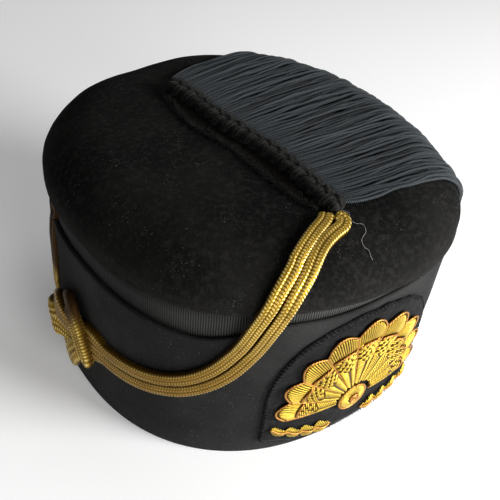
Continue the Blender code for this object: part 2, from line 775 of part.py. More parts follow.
@lru_cache(maxsize=None)
def strand_line(across: float) -> list[tuple[Vector, Vector]]:
    """Skin points and normals under one strand, closer together round the shoulder."""
    start = HEAD_FRONT.lerp(HEAD_BACK, across) + Vector((HEAD_ROWS[-1].reach, 0.0))
    azimuth = mix(FRINGE_FRONT_AZIMUTH, FRINGE_BACK_AZIMUTH, across)
    edge = crown_plan(azimuth, 0.0)
    trail = []
    for step in range(SKIN_SAMPLES):
        share = 1.0 - (1.0 - step / SKIN_SAMPLES) ** 2
        bow = FRINGE_BOW * (2.0 * across - 1.0) * math.sin(math.pi * math.sqrt(share))
        trail.append(skin_over(start.lerp(edge, share) + Vector((0.0, bow))))
    for step in range(SKIN_SAMPLES + 1):
        height = mix(CROWN_WIDEST_HEIGHT, FRINGE_HEM_CLIMB, step / SKIN_SAMPLES)
        trail.append((outer_point(azimuth, height), outer_normal(azimuth, height)))
    measure = [0.0]
    for (before, before_normal), (after, after_normal) in zip(trail, trail[1:]):
        turn = before_normal.angle(after_normal)
        measure.append(measure[-1] + (after - before).length + TURN_WEIGHT * turn)
    line = []
    for row in range(1, DRAPE_ROWS + 1):
        wanted = measure[-1] * row / DRAPE_ROWS
        line.append(trail[min(bisect_left(measure, wanted), len(trail) - 1)])
    return line


def fringe_place(across: float, along: float, top: bool) -> Vector:
    """Plaited head along the crown with its strands draped over the shoulder."""
    index = round(along * FRINGE_ROWS)
    row = HEAD_ROWS[min(index, len(HEAD_ROWS) - 1)]
    if index < len(HEAD_ROWS):
        point, normal = skin_over(HEAD_FRONT.lerp(HEAD_BACK, across) + Vector((row.reach, 0.0)))
        depth = row.depth
    else:
        point, normal = strand_line(across)[index - len(HEAD_ROWS)]
        depth = STRAND_BED
    lock = abs(math.sin(math.pi * LOCKS * across))
    lump = math.sin(math.pi * LOCKS * across + LUMP_PHASE)
    depth *= 1.0 + LUMP_SHARE * row.lumps * lump
    depth += LOCK_RELIEF * row.locks * lock
    depth *= mix(EDGE_SHARE, 1.0, smooth_step(0.0, EDGE_RUN, min(across, 1.0 - across)))
    return point + normal * (FRINGE_LIFT + (depth if top else 0.0))


def fringe_has_cell(column: int, row: int) -> bool:
    """Leave the cell between two groups of locks open near the hem."""
    in_slit = (column + 1) % (COLUMNS_BETWEEN_SLITS + 1) == 0
    return row < FRINGE_ROWS - HEM_ROWS or not in_slit


# ---------------------------------------------------------------- assembly

def centre_over_origin(root: bpy.types.Object) -> None:
    """Shift the root so that the hat's box is centred over the origin."""
    bpy.context.view_layer.update()
    corners = [
        piece.matrix_world @ Vector(corner) for piece in root.children for corner in piece.bound_box
    ]
    middle_x = (min(corner.x for corner in corners) + max(corner.x for corner in corners)) / 2
    middle_y = (min(corner.y for corner in corners) + max(corner.y for corner in corners)) / 2
    root.location = (-middle_x, -middle_y, 0.0)


def clear_scene() -> None:
    """Remove every object from the file."""
    for old in list(bpy.data.objects):
        bpy.data.objects.remove(old)


def main() -> None:
    """Build the hat."""
    clear_scene()
    root = bpy.data.objects.new("hat_root", None)
    bpy.context.scene.collection.objects.link(root)
    build_crown(root)
    make_object("grosgrain_ribbon", hoop(ribbon_section), GROSGRAIN, root)
    make_object("cuff", hoop(cuff_section), CUFF_CLOTH, root)
    make_object("badge_patch", relief(PATCH_COLUMNS, PATCH_ROWS, patch_place), PATCH_FELT, root)
    palmette = relief(FAN_PETALS * PETAL_COLUMNS, PETAL_ROWS, fan_place)
    make_object("badge_palmette", palmette, BULLION, root)
    build_rosette(root)
    for side, name in ((-1, "badge_spray_right"), (1, "badge_spray_left")):
        spray = relief(LEAF_COLUMNS, SPRAY_LEAVES * LEAF_ROWS - 1, spray_place(side))
        make_object(name, spray, BULLION, root)
    build_cord("gold_cord_front", False, root)
    build_cord("gold_cord_rear", True, root)
    fringe = relief(LOCKS * 2, FRINGE_ROWS, fringe_place, fringe_has_cell)
    make_object("fringe", fringe, FRINGE_CORD, root)
    centre_over_origin(root)


if __name__ == "__main__":
    main()
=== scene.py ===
"""Looks of a soft black felt fez with a turned-up cuff, draped fringe, knotted gold braid and a badge.

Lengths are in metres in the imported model's frame: the rim rests on z = 0, the badge faces -Y, the
knot sits on the wearer's right at -X and the fringe hangs over the wearer's left at +X. Azimuth runs
from the front towards +X. Climb is the distance up the outside, from the rim over the shoulder.
"""
from __future__ import annotations

import logging
import math
from dataclasses import dataclass, replace
from enum import Enum
from typing import Callable, Iterator, Mapping, Sequence, Union

import bpy
import numpy as np
from mathutils import Matrix, Vector

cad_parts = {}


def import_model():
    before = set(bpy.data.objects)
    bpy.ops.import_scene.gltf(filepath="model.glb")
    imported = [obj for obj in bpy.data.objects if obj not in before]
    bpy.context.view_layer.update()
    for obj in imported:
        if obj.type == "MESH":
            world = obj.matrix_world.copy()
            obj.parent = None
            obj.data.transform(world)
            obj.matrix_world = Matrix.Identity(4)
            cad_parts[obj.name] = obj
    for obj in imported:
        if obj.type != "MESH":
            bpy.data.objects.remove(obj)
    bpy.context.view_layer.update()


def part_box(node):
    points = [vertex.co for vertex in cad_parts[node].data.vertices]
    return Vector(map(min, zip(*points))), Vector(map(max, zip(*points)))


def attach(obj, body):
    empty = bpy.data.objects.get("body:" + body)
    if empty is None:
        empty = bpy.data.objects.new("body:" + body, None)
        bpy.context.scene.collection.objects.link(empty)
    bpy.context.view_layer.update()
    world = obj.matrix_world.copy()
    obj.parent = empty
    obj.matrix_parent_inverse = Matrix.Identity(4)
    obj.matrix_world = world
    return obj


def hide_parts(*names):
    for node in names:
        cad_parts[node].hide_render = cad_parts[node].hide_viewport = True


LOG = logging.getLogger("fez")
BODY = "root"
MILLIMETRE = 0.001
QUARTER_TURN = math.pi / 2
FULL_TURN = 2 * math.pi
WELD = 1e-7  # points closer than this are one
HALVINGS = 36  # of the range in which an inset is looked for
FEWEST_ROWS = 6  # of a couched cord

Array = np.ndarray
Reals = Union[np.ndarray, float]
Colour = tuple[float, float, float]
Span = tuple[float, float]
Floats = tuple[float, ...]
Route = tuple[Span, ...]
Padding = Callable[[np.ndarray], np.ndarray]
Values = Mapping[str, Reals]
Piece = bpy.types.Object


class Slot(Enum):
    """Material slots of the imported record."""

    FELT = "black_felt"
    CLOTH = "wool_cloth"
    GROSGRAIN = "grosgrain"
    PATCH = "patch_felt"
    BULLION = "gold_bullion"
    BRAID = "gold_braid"
    FRINGE = "fringe_cord"


# Numbers and curves

def mix(start: Reals, end: Reals, share: Reals) -> Reals:
    """Value the given share of the way from start to end."""
    return start + (end - start) * share


def smooth_step(start: float, end: float, value: Reals) -> Reals:
    """Rise from 0 at start to 1 at end with level ends."""
    share = np.clip((value - start) / (end - start), 0.0, 1.0)
    return share * share * (3.0 - 2.0 * share)


def unit(vectors: Array) -> Array:
    """Vectors of length one."""
    return vectors / np.maximum(np.linalg.norm(vectors, axis=-1, keepdims=True), 1e-12)


def turn_from(middle: float, azimuth: Reals) -> Reals:
    """Shortest turn from one azimuth to others, from -pi to pi."""
    return (azimuth - middle + math.pi) % FULL_TURN - math.pi


def shares(count: int) -> Array:
    """Evenly spaced shares from 0 to 1."""
    return np.linspace(0.0, 1.0, count)


def as_points(*parts: Reals) -> Array:
    """Parts of points, spread to one shape and put side by side on the last axis."""
    return np.stack(np.broadcast_arrays(*parts), axis=-1)


def signed_power(values: Array, power: float) -> Array:
    """Power of the size of values, with their sign kept."""
    return np.sign(values) * np.abs(values) ** power


def ripple(points: Array, wavelength: float, seed: int, waves: int = 7) -> Array:
    """Smooth irregular field over space, mostly between -1 and 1.

    Args:
        points: Places to read the field at (..., 3).
        wavelength: Size of its swells.
        seed: Picks one field of many.
        waves: Plane waves added up.

    Returns:
        One value for each point.
    """
    generator = np.random.default_rng(seed)
    directions = unit(generator.normal(size=(waves, 3))) * generator.uniform(0.7, 1.4, (waves, 1))
    phases = generator.uniform(0.0, FULL_TURN, waves)
    swells = np.sin(points @ directions.T * (FULL_TURN / wavelength) + phases)
    return swells.sum(axis=-1) / math.sqrt(waves)


@dataclass(frozen=True)
class Lumps:
    """Irregular relief of a surface or of a line."""

    height: float
    wavelength: float
    seed: int

    def at(self, points: Array) -> Array:
        """Relief at points."""
        return self.height * ripple(points, self.wavelength, self.seed)

    def along(self, run: Array) -> Array:
        """Relief at distances along a line."""
        return self.at(as_points(run, run * 0, run * 0))


def smooth_curve(points: Array, steps: int) -> Array:
    """Catmull-Rom curve through points.

    Args:
        points: Points of the route (count, dimensions).
        steps: Samples between two points.

    Returns:
        Samples of the curve, both ends included.
    """
    padded = np.concatenate([points[:1], points, points[-1:]])
    before, start, end, after = padded[:-3], padded[1:-2], padded[2:-1], padded[3:]
    curve = []
    for t in np.arange(steps) / steps:
        pull = (end - before) * t + (2 * before - 5 * start + 4 * end - after) * t ** 2
        pull = pull + (3 * start - before - 3 * end + after) * t ** 3
        curve.append(start + pull * 0.5)
    samples = np.stack(curve, axis=1).reshape(-1, points.shape[1])
    return np.concatenate([samples, points[-1:]])


def distances(points: Array) -> Array:
    """Distance run at each point of a line."""
    return np.concatenate([[0.0], np.cumsum(np.linalg.norm(np.diff(points, axis=0), axis=1))])


def respaced(line: Array, others: Sequence[Array], count: int) -> list[Array]:
    """A line and values carried along it, at equal distances.

    Args:
        line: Points of the line.
        others: Values at the same points, such as normals.
        count: Samples wanted.

    Returns:
        The line and then the others, with count rows each.
    """
    run = distances(line)
    wanted = np.linspace(0.0, run[-1], count)
    return [
        np.stack([np.interp(wanted, run, column) for column in values.T], axis=1)
        for values in (line, *others)
    ]


# The hat's outer form

@dataclass(frozen=True)
class HatForm:
    """Outer form of the hat, with the driving sizes of its solids."""

    squareness: float = 2.34
    rim: Span = (0.0905, 0.089)
    band_top: Span = (0.0895, 0.0968)
    crown: Span = (0.091, 0.098)
    crown_edge: float = 0.0903
    widest: float = 0.0938
    shoulder_rise: float = 0.0192
    shoulder_inset: float = 0.0295
    top_rise: float = 0.0014
    dent_depth: float = 0.006
    dent_front: float = math.radians(38)
    dent_back: float = math.radians(160)
    dent_flank: float = math.radians(22)
    dent_run_in: float = 0.0045
    lean: Span = (0.0006, -0.0005)
    cuff_side_height: float = 0.073
    cuff_front_height: float = 0.0843
    cuff_peak_half_width: float = math.radians(22)
    cuff_peak_foot: float = math.radians(48)
    overhang_run: float = 0.005
    edge_rounding: float = 0.0006
    edge_sag: float = 0.005
    edge_hold: float = math.radians(-27)  # the gold cord holds the crown's edge up here
    edge_hold_spread: float = math.radians(22)
    brow_rise: float = 0.0016
    brow: float = math.radians(5)
    middle: Span = (0.0, 0.0)
    skin_share: float = 0.98  # of the way in to the top's middle

    @classmethod
    def in_frame(cls) -> "HatForm":
        """The form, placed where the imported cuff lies."""
        low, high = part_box("cuff")
        form = cls()
        front = form.cuff_face(0.0, form.cuff_front_height - form.edge_rounding)
        back = form.cuff_face(math.pi, form.cuff_side_height - form.edge_rounding)
        return replace(form, middle=((low.x + high.x) / 2, (low.y + high.y - front[1] - back[1]) / 2))

    @property
    def shoulder_length(self) -> float:
        """Length of the arc from the widest line to the top."""
        return QUARTER_TURN * math.hypot(self.shoulder_inset, self.shoulder_rise) / math.sqrt(2)

    @property
    def top_length(self) -> float:
        """Distance from the shoulder's end to the middle of the top."""
        return self.crown[0] - self.shoulder_inset

    def outline(self, azimuth: Reals, half_width: Reals, half_length: Reals) -> Array:
        """Plan points of a rounded outline at azimuths."""
        across, along = np.sin(azimuth), np.cos(azimuth)
        reach = np.abs(across / half_width) ** self.squareness
        reach = reach + np.abs(along / half_length) ** self.squareness
        radius = reach ** (-1.0 / self.squareness)
        return as_points(radius * across, -radius * along)

    def raised(self, plan: Array, height: Reals, lean_share: Reals = 1.0) -> Array:
        """Points at a height above plan points, with the hat's lean."""
        x = plan[..., 0] + self.lean[0] * lean_share + self.middle[0]
        y = plan[..., 1] + self.lean[1] * lean_share + self.middle[1]
        return as_points(x, y, height)

    def cuff_face(self, azimuth: Reals, height: Reals, offset: Reals = 0.0) -> Array:
        """Points at an offset outside the cuff's outer face."""
        share = np.asarray(height) / self.crown_edge
        half_width = mix(self.rim[0], self.band_top[0], share) + offset
        half_length = mix(self.rim[1], self.band_top[1], share) + offset
        return self.raised(self.outline(azimuth, half_width, half_length), height, share)

    def cuff_top(self, azimuth: Reals) -> Array:
        """Height of the cuff's top edge."""
        bearing = np.abs(turn_from(0.0, azimuth))
        peak = 1.0 - smooth_step(self.cuff_peak_half_width, self.cuff_peak_foot, bearing)
        return mix(self.cuff_side_height, self.cuff_front_height, peak)

    def hump(self, azimuth: Reals, middle: float) -> Array:
        """Smooth rise to 1 at an azimuth."""
        return np.exp(-(turn_from(middle, azimuth) / self.edge_hold_spread) ** 2)

    def edge_drop(self, azimuth: Reals) -> Array:
        """Sag of the soft crown's lower edge."""
        sag = self.edge_sag * (1.0 - self.hump(azimuth, self.edge_hold))
        return np.maximum(0.0, sag - self.brow_rise * self.hump(azimuth, self.brow))

    def pressed_plan(self, azimuth: Reals, inset: Reals) -> Array:
        """Plan points of the crown at an inset, pressed in under the fringe."""
        bearing = turn_from(0.0, azimuth)
        dent = smooth_step(self.dent_front, self.dent_front + self.dent_flank, bearing)
        dent = dent * (1.0 - smooth_step(self.dent_back - self.dent_flank, self.dent_back, bearing))
        dent = dent * smooth_step(-self.dent_run_in, self.dent_run_in, inset)
        dent = dent * self.dent_depth * np.maximum(0.0, 1.0 - inset / self.shoulder_inset)
        return self.outline(azimuth, self.crown[0] - inset - dent, self.crown[1] - inset - dent)

    def top_height(self, inset: Reals, turn: Reals) -> Array:
        """Height of the crown at an inset, where the shoulder has turned so far."""
        share = np.clip((inset - self.shoulder_inset) / self.top_length, 0.0, 1.0)
        level = self.widest + self.shoulder_rise + self.top_rise * (1.0 - (1.0 - share) ** 2)
        return level - self.shoulder_rise * (1.0 - np.sin(turn))

    def skin(self, azimuth: Reals, climb: Reals) -> Array:
        """Points on the smooth skin that trim lies on, bridging the crown's overhang."""
        azimuth, climb = np.broadcast_arrays(azimuth, climb)
        low = self.cuff_face(azimuth, np.minimum(climb, self.crown_edge))
        high = self.raised(self.pressed_plan(azimuth, 0.0), climb)
        drop = self.edge_drop(azimuth)
        start = self.cuff_side_height - self.overhang_run - drop
        bulge = smooth_step(start, self.widest - drop, climb)
        wall = mix(low, high, bulge[..., None])
        wall[..., 2] = climb
        turn = np.clip((climb - self.widest) / self.shoulder_length, 0.0, 1.0) * QUARTER_TURN
        beyond = np.clip(climb - self.widest - self.shoulder_length, 0.0, self.top_length * self.skin_share)
        inset = self.shoulder_inset * (1.0 - np.cos(turn)) + beyond
        over = self.raised(self.pressed_plan(azimuth, inset), self.top_height(inset, turn))
        return np.where((climb <= self.widest)[..., None], wall, over)

    def skin_normal(self, azimuth: Reals, climb: Reals) -> Array:
        """Unit normals of the smooth skin, pointing away from the hat."""
        step, turn = 0.0008, 0.01
        around = self.skin(azimuth + turn, climb) - self.skin(azimuth - turn, climb)
        upwards = self.skin(azimuth, climb + step) - self.skin(azimuth, climb - step)
        return unit(np.cross(around, upwards))

    def over_skin(self, places: Array) -> tuple[Array, Array]:
        """Points over the skin from azimuth, climb and lift (count, 3), and its normals."""
        azimuth, climb, lift = places.T
        normals = self.skin_normal(azimuth, climb)
        return self.skin(azimuth, climb) + normals * lift[:, None], normals

    def skin_over(self, plan: Array) -> tuple[Array, Array]:
        """Points and normals of the crown above plan points measured from the hat's middle."""
        azimuth = np.arctan2(plan[..., 0], -plan[..., 1])
        reach = np.linalg.norm(plan, axis=-1)
        low = np.zeros(reach.shape)
        high = np.full(reach.shape, self.crown[0] * self.skin_share)
        for _ in range(HALVINGS):
            inset = (low + high) / 2
            inside = np.linalg.norm(self.pressed_plan(azimuth, inset), axis=-1) > reach
            low, high = np.where(inside, inset, low), np.where(inside, high, inset)
        power = self.squareness - 1.0
        half_width, half_length = self.crown[0] - inset, self.crown[1] - inset
        outward = as_points(
            signed_power(plan[..., 0] / half_width, power) / half_width,
            signed_power(plan[..., 1] / half_length, power) / half_length,
            0.0,
        )
        turn = np.arccos(np.clip(1.0 - inset / self.shoulder_inset, 0.0, 1.0))
        normal = unit(outward) * (np.cos(turn) / self.shoulder_inset)[..., None]
        normal[..., 2] = np.sin(turn) / self.shoulder_rise
        return self.raised(plan, self.top_height(inset, turn)), unit(normal)


# Mesh tools

def deselect_all() -> None:
    """Deselect every object."""
    for other in bpy.context.selected_objects:
        other.select_set(False)


def select_only(piece: Piece) -> None:
    """Make one object the only selected and the active one."""
    deselect_all()
    piece.select_set(True)
    bpy.context.view_layer.objects.active = piece


def tidy_surface(piece: Piece) -> None:
    """Weld seams and poles, turn the faces outwards and shade them smooth."""
    select_only(piece)
    bpy.ops.object.mode_set(mode="EDIT")
    bpy.ops.mesh.select_all(action="SELECT")
    bpy.ops.mesh.remove_doubles(threshold=WELD)
    bpy.ops.mesh.normals_make_consistent(inside=False)
    bpy.ops.mesh.select_all(action="DESELECT")
    bpy.ops.object.mode_set(mode="OBJECT")
    bpy.ops.object.shade_smooth()


def laid_copies(
    name: str, laid: Array, surface: Span = (1.0, 1.0), values: Values | None = None
) -> Piece:
    """One grid, modelled once and copied, each copy laid out by its own points.

    Args:
        name: Name of the piece.
        laid: Points of every copy (copies, rows, columns, 3).
        surface: Size of a copy's surface map, across and along.
        values: Point values to keep as attributes, by name, spread over (copies, rows, columns).

    Returns:
        The joined piece, welded and smooth.
    """
    copies, rows, columns = laid.shape[:3]
    deselect_all()
    bpy.ops.mesh.primitive_grid_add(x_subdivisions=columns - 1, y_subdivisions=rows - 1, size=1.0)
    grid = bpy.context.active_object
    corners = np.zeros(len(grid.data.loops), dtype=np.int32)
    grid.data.loops.foreach_get("vertex_index", corners)
    chart = np.zeros(len(corners) * 2, dtype=np.float32)
    grid.data.uv_layers[0].data.foreach_get("uv", chart)
    chart = chart.reshape(-1, 2) * np.array(surface, dtype=np.float32)
    faces = corners.reshape(-1, 4)
    shifts = np.arange(copies)[:, None, None] * rows * columns
    mesh = bpy.data.meshes.new(name)
    mesh.from_pydata(laid.reshape(-1, 3).tolist(), [], (faces[None] + shifts).reshape(-1, 4).tolist())
    layer = mesh.uv_layers.new(name="surface")
    layer.data.foreach_set("uv", np.tile(chart, (copies, 1)).ravel())
    for key, value in (values or {}).items():
        attribute = mesh.attributes.new(key, "FLOAT", "POINT")
        spread = np.broadcast_to(value, (copies, rows, columns)).astype(np.float32)
        attribute.data.foreach_set("value", spread.ravel())
    flat_mesh = grid.data
    grid.data = mesh
    grid.name = name
    bpy.data.meshes.remove(flat_mesh)
    tidy_surface(grid)
    return grid


def close_sides(piece: Piece) -> None:
    """Fill a piece's two open sides."""
    select_only(piece)
    bpy.ops.object.mode_set(mode="EDIT")
    bpy.ops.mesh.select_all(action="SELECT")
    bpy.ops.mesh.dissolve_degenerate(threshold=WELD)
    bpy.ops.mesh.select_all(action="SELECT")
    bpy.ops.mesh.fill_holes(sides=0)
    bpy.ops.mesh.select_all(action="SELECT")
    bpy.ops.mesh.normals_make_consistent(inside=False)
    bpy.ops.object.mode_set(mode="OBJECT")


def capped(laid: Array) -> Array:
    """Rings with a pole in the middle of the first and of the last."""
    poles = [np.broadcast_to(ring.mean(axis=0), ring.shape)[None] for ring in (laid[0], laid[-1])]
    return np.concatenate([poles[0], laid, poles[1]])


def joined(name: str, pieces: Sequence[Piece]) -> Piece:
    """Join pieces into one."""
    select_only(pieces[0])
    for piece in pieces:
        piece.select_set(True)
    if len(pieces) > 1:
        bpy.ops.object.join()
    whole = bpy.context.active_object
    whole.name = name
    return whole


def around(columns: int) -> Array:
    """Turns of a closed ring in radians, its first point repeated at the end."""
    return np.linspace(0.0, FULL_TURN, columns + 1)


def end_taper(rows: int, length: float, radius: float) -> Array:
    """Share of the section left at each row of a tube with round ends."""
    from_end = np.linspace(0.0, length, rows)
    from_end = np.minimum(from_end, length - from_end)
    return np.sqrt(np.clip(1.0 - (1.0 - np.minimum(from_end / radius, 1.0)) ** 2, 0.0, 1.0))


def swept(
    name: str, centres: Array, normals: Array, section: Array, length: float, values: Values | None = None
) -> Piece:
    """Tubes swept along centre lines.

    Args:
        name: Name of the piece.
        centres: Points of each line (lines, rows, 3).
        normals: Directions away from what carries the line (lines, rows, 3).
        section: Sideways and upward offsets, first column repeated last (lines or 1, rows, columns, 2).
        length: Length that the surface map gives to a line.
        values: Point values to keep as attributes, by name.

    Returns:
        The joined piece.
    """
    forward = unit(np.gradient(centres, axis=1))
    sideways = unit(np.cross(forward, normals))
    upward = np.cross(sideways, forward)
    laid = centres[:, :, None] + sideways[:, :, None] * section[..., :1]
    laid = laid + upward[:, :, None] * section[..., 1:]
    return laid_copies(name, laid, (1.0, length), values)


@dataclass(frozen=True)
class Lay:
    """Twist of a cord's plies."""

    pitch: float  # length of one turn
    plies: int
    depth: float  # rise of a ply as a share of the radius


NO_LAY = Lay(1.0, 0, 0.0)


def tube_section(
    columns: int, radius: Reals, taper: Array, run: Reals = 0.0, lay: Lay = NO_LAY
) -> Array:
    """Offsets of a round section, or of a twisted cord's with a rounded bulge for each ply.

    Args:
        columns: Columns round the tube.
        radius: Mean radius.
        taper: Share of the radius left at each row.
        run: Distance along the cord at each row.
        lay: Twist of the plies.

    Returns:
        Offsets (1, rows, columns + 1, 2).
    """
    turn = around(columns)
    twist = np.broadcast_to(run / lay.pitch * FULL_TURN, taper.shape)
    angle = turn + twist[:, None]
    bulge = 1.0 + lay.depth * np.cos(lay.plies * turn)
    ring = as_points(np.cos(angle), np.sin(angle)) * bulge[:, None]
    return (ring * (radius * taper)[:, None, None])[None]


# Shader maths

class Signal:
    """Socket of a shader tree that takes part in Python expressions."""

    def __init__(self, tree: "ShaderTree", socket: bpy.types.NodeSocket) -> None:
        """Wrap a socket of a tree."""
        self.tree = tree
        self.socket = socket

    def math(self, operation: str, *others: "Operand") -> "Signal":
        """Math node on this value and others."""
        inputs = dict(enumerate((self, *others)))
        return self.tree.node("ShaderNodeMath", {"operation": operation}, inputs)

    def __add__(self, other: "Operand") -> "Signal":
        """Sum."""
        return self.math("ADD", other)

    def __sub__(self, other: "Operand") -> "Signal":
        """Difference."""
        return self.math("SUBTRACT", other)

    def __rsub__(self, other: "Operand") -> "Signal":
        """Difference, reflected."""
        return self.tree.node("ShaderNodeMath", {"operation": "SUBTRACT"}, {0: other, 1: self})

    def __mul__(self, other: "Operand") -> "Signal":
        """Product."""
        return self.math("MULTIPLY", other)

    def __pow__(self, other: "Operand") -> "Signal":
        """Power."""
        return self.math("POWER", other)

    __radd__ = __add__
    __rmul__ = __mul__

    def wave(self) -> "Signal":
        """Sine of this value, from 0 to 1."""
        return self.math("SINE") * 0.5 + 0.5

    def between(self, start: float, end: float) -> "Signal":
        """Smooth rise from 0 at start to 1 at end."""
        settings = {"interpolation_type": "SMOOTHSTEP"}
        return self.tree.node("ShaderNodeMapRange", settings, {0: self, 1: start, 2: end})


Operand = Union[Signal, float]


class ShaderTree:
    """Node tree of one material, built from expressions."""

    def __init__(self, name: str) -> None:
        """Start an empty material with a Principled shader."""
        self.material = bpy.data.materials.new(name)
        self.material.use_nodes = True
        self.nodes = self.material.node_tree.nodes
        self.links = self.material.node_tree.links
        self.principled = self.nodes["Principled BSDF"]

    def node(
        self,
        kind: str,
        settings: Mapping[str, object] | None = None,
        inputs: Mapping[str | int, object] | None = None,
        output: str | int = 0,
    ) -> Signal:
        """Add a node.

        Args:
            kind: Type of the node.
            settings: Its properties; "stops" gives a ramp's positions and colours.
            inputs: Values or signals of its sockets, by name or place.
            output: Socket wanted.

        Returns:
            The output as a signal.
        """
        node = self.nodes.new(kind)
        for key, value in (settings or {}).items():
            if key == "stops":
                self.set_stops(node.color_ramp, value)
            else:
                setattr(node, key, value)
        for key, value in (inputs or {}).items():
            self.feed(node.inputs[key], value)
        return Signal(self, node.outputs[output])

    def set_stops(self, ramp: bpy.types.ColorRamp, stops: Sequence[tuple[float, Colour]]) -> None:
        """Give a colour ramp its stops."""
        while len(ramp.elements) < len(stops):
            ramp.elements.new(1.0)
        for element, (position, colour) in zip(ramp.elements, stops):
            element.position = position
            element.color = (*colour, 1.0)

    def feed(self, socket: bpy.types.NodeSocket, value: object) -> None:
        """Link a signal to a socket, or set its value."""
        if isinstance(value, Signal):
            self.links.new(value.socket, socket)
        elif socket.type == "RGBA":
            socket.default_value = (*value, 1.0)
        else:
            socket.default_value = value

    def coordinates(self, kind: str = "Object") -> Signal:
        """Texture coordinates of a kind."""
        return self.node("ShaderNodeTexCoord", output=kind)

    def attribute(self, name: str) -> Signal:
        """Point value of the piece."""
        return self.node("ShaderNodeAttribute", {"attribute_name": name}, output="Fac")

    def surface_map(self) -> tuple[Signal, Signal]:
        """Turns across and metres along the piece's own surface map."""
        split = self.node("ShaderNodeSeparateXYZ", inputs={0: self.coordinates("UV")})
        return split, Signal(self, split.socket.node.outputs[1])

    def noise(self, scale: float, detail: float = 2.0, vector: Signal | None = None) -> Signal:
        """Noise with swells of about 1 / scale metres, from 0 to 1."""
        place = vector or self.coordinates()
        inputs = {"Vector": place, "Scale": scale, "Detail": detail}
        return self.node("ShaderNodeTexNoise", inputs=inputs)

    def ramp(self, factor: Signal, stops: Sequence[tuple[float, Colour]]) -> Signal:
        """Colour along a ramp."""
        return self.node("ShaderNodeValToRGB", {"stops": stops}, {0: factor})

    def blend(self, factor: Operand, first: object, second: object) -> Signal:
        """Colour between two colours."""
        inputs = {0: factor, 6: first, 7: second}
        return self.node("ShaderNodeMix", {"data_type": "RGBA"}, inputs, output=2)

    def bump(self, height: Signal, depth: float, strength: float = 1.0) -> Signal:
        """Normals of a relief of the given depth."""
        inputs = {"Height": height, "Distance": depth, "Strength": strength}
        return self.node("ShaderNodeBump", inputs=inputs)

    def shade(self, inputs: Mapping[str, object]) -> bpy.types.Material:
        """Set the shader's sockets and return the material."""
        for key, value in inputs.items():
            self.feed(self.principled.inputs[key], value)
        return self.material


# Finishes

LINT = (0.2, 0.19, 0.17)


@dataclass(frozen=True)
class Mottle:
    """Noise that lets one colour show through another."""

    scale: float  # swells in a metre
    detail: float
    low: float  # noise where the colour begins to show
    high: float  # noise where it shows in full
    share: float = 1.0  # of the colour where it shows in full

    def noise(self, tree: ShaderTree) -> Signal:
        """The noise itself."""
        return tree.noise(self.scale, self.detail)

    def cover(self, tree: ShaderTree) -> Signal:
        """Share of the colour that shows."""
        return self.noise(tree).between(self.low, self.high) * self.share


@dataclass(frozen=True)
class Finish:
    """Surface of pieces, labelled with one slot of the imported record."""

    name: str
    slot: Slot

    def make(self) -> bpy.types.Material:
        """Build the material."""
        raise NotImplementedError

    def dress(self, piece: Piece, *stands_for: str) -> None:
        """Dress a piece, tie it to the hat's body and say so.

        Args:
            piece: The finished piece.
            stands_for: Solids that it replaces.
        """
        piece.data.materials.clear()
        piece.data.materials.append(self.make())
        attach(piece, BODY)
        if stands_for:
            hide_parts(*stands_for)
        LOG.info("%s: %d faces", piece.name, len(piece.data.polygons))


@dataclass(frozen=True)
class Felt(Finish):
    """Pressed wool with a short nap, a little dusty, with sparse specks of lint."""

    colour: Colour
    dusty: Colour
    lit_rim: Colour = (0.029, 0.0282, 0.026)  # painted light: paler colour along the crown's lower rim, where the rim mask is 1
    nap: float = 0.0003
    lint: float = 0.35
    sheen: float = 0.1
    specular: float = 0.06
    patches: Mottle = Mottle(26.0, 3.0, 0.3, 0.85, 0.6)
    blotches: Mottle = Mottle(380.0, 4.0, 0.46, 0.7, 0.7)
    pile: Mottle = Mottle(1000.0, 3.0, 0.45, 0.8, 0.6)
    clusters: Mottle = Mottle(60.0, 1.0, 0.42, 0.72)
    specks: Mottle = Mottle(1300.0, 0.0, 0.74, 0.79)
    fibre_scale: float = 3600.0

    def make(self) -> bpy.types.Material:
        """Build the material."""
        tree = ShaderTree(self.name)
        colour: Signal | Colour = self.colour
        for dust in (self.patches, self.blotches, self.pile):
            colour = tree.blend(dust.cover(tree), colour, self.dusty)
        pile = self.pile.noise(tree)
        # painted light: the felt is made paler along the crown's lower rim
        rim_lighting = tree.attribute("pale_and_lit") * (self.blotches.noise(tree) * 0.5 + pile * 0.6)
        colour = tree.blend(rim_lighting, colour, self.lit_rim)
        specks = self.specks.cover(tree) * self.clusters.cover(tree)
        colour = tree.blend(specks * self.lint, colour, LINT)
        fibres = tree.noise(self.fibre_scale, 1.0)
        return tree.shade({
            "Base Color": colour, "Roughness": 0.95,
            "Normal": tree.bump(pile * 0.6 + fibres * 0.5, self.nap, 0.8),
            "Sheen Weight": self.sheen, "Sheen Roughness": 0.4, "Sheen Tint": (0.8, 0.81, 0.82),
            "Specular IOR Level": self.specular,
        })


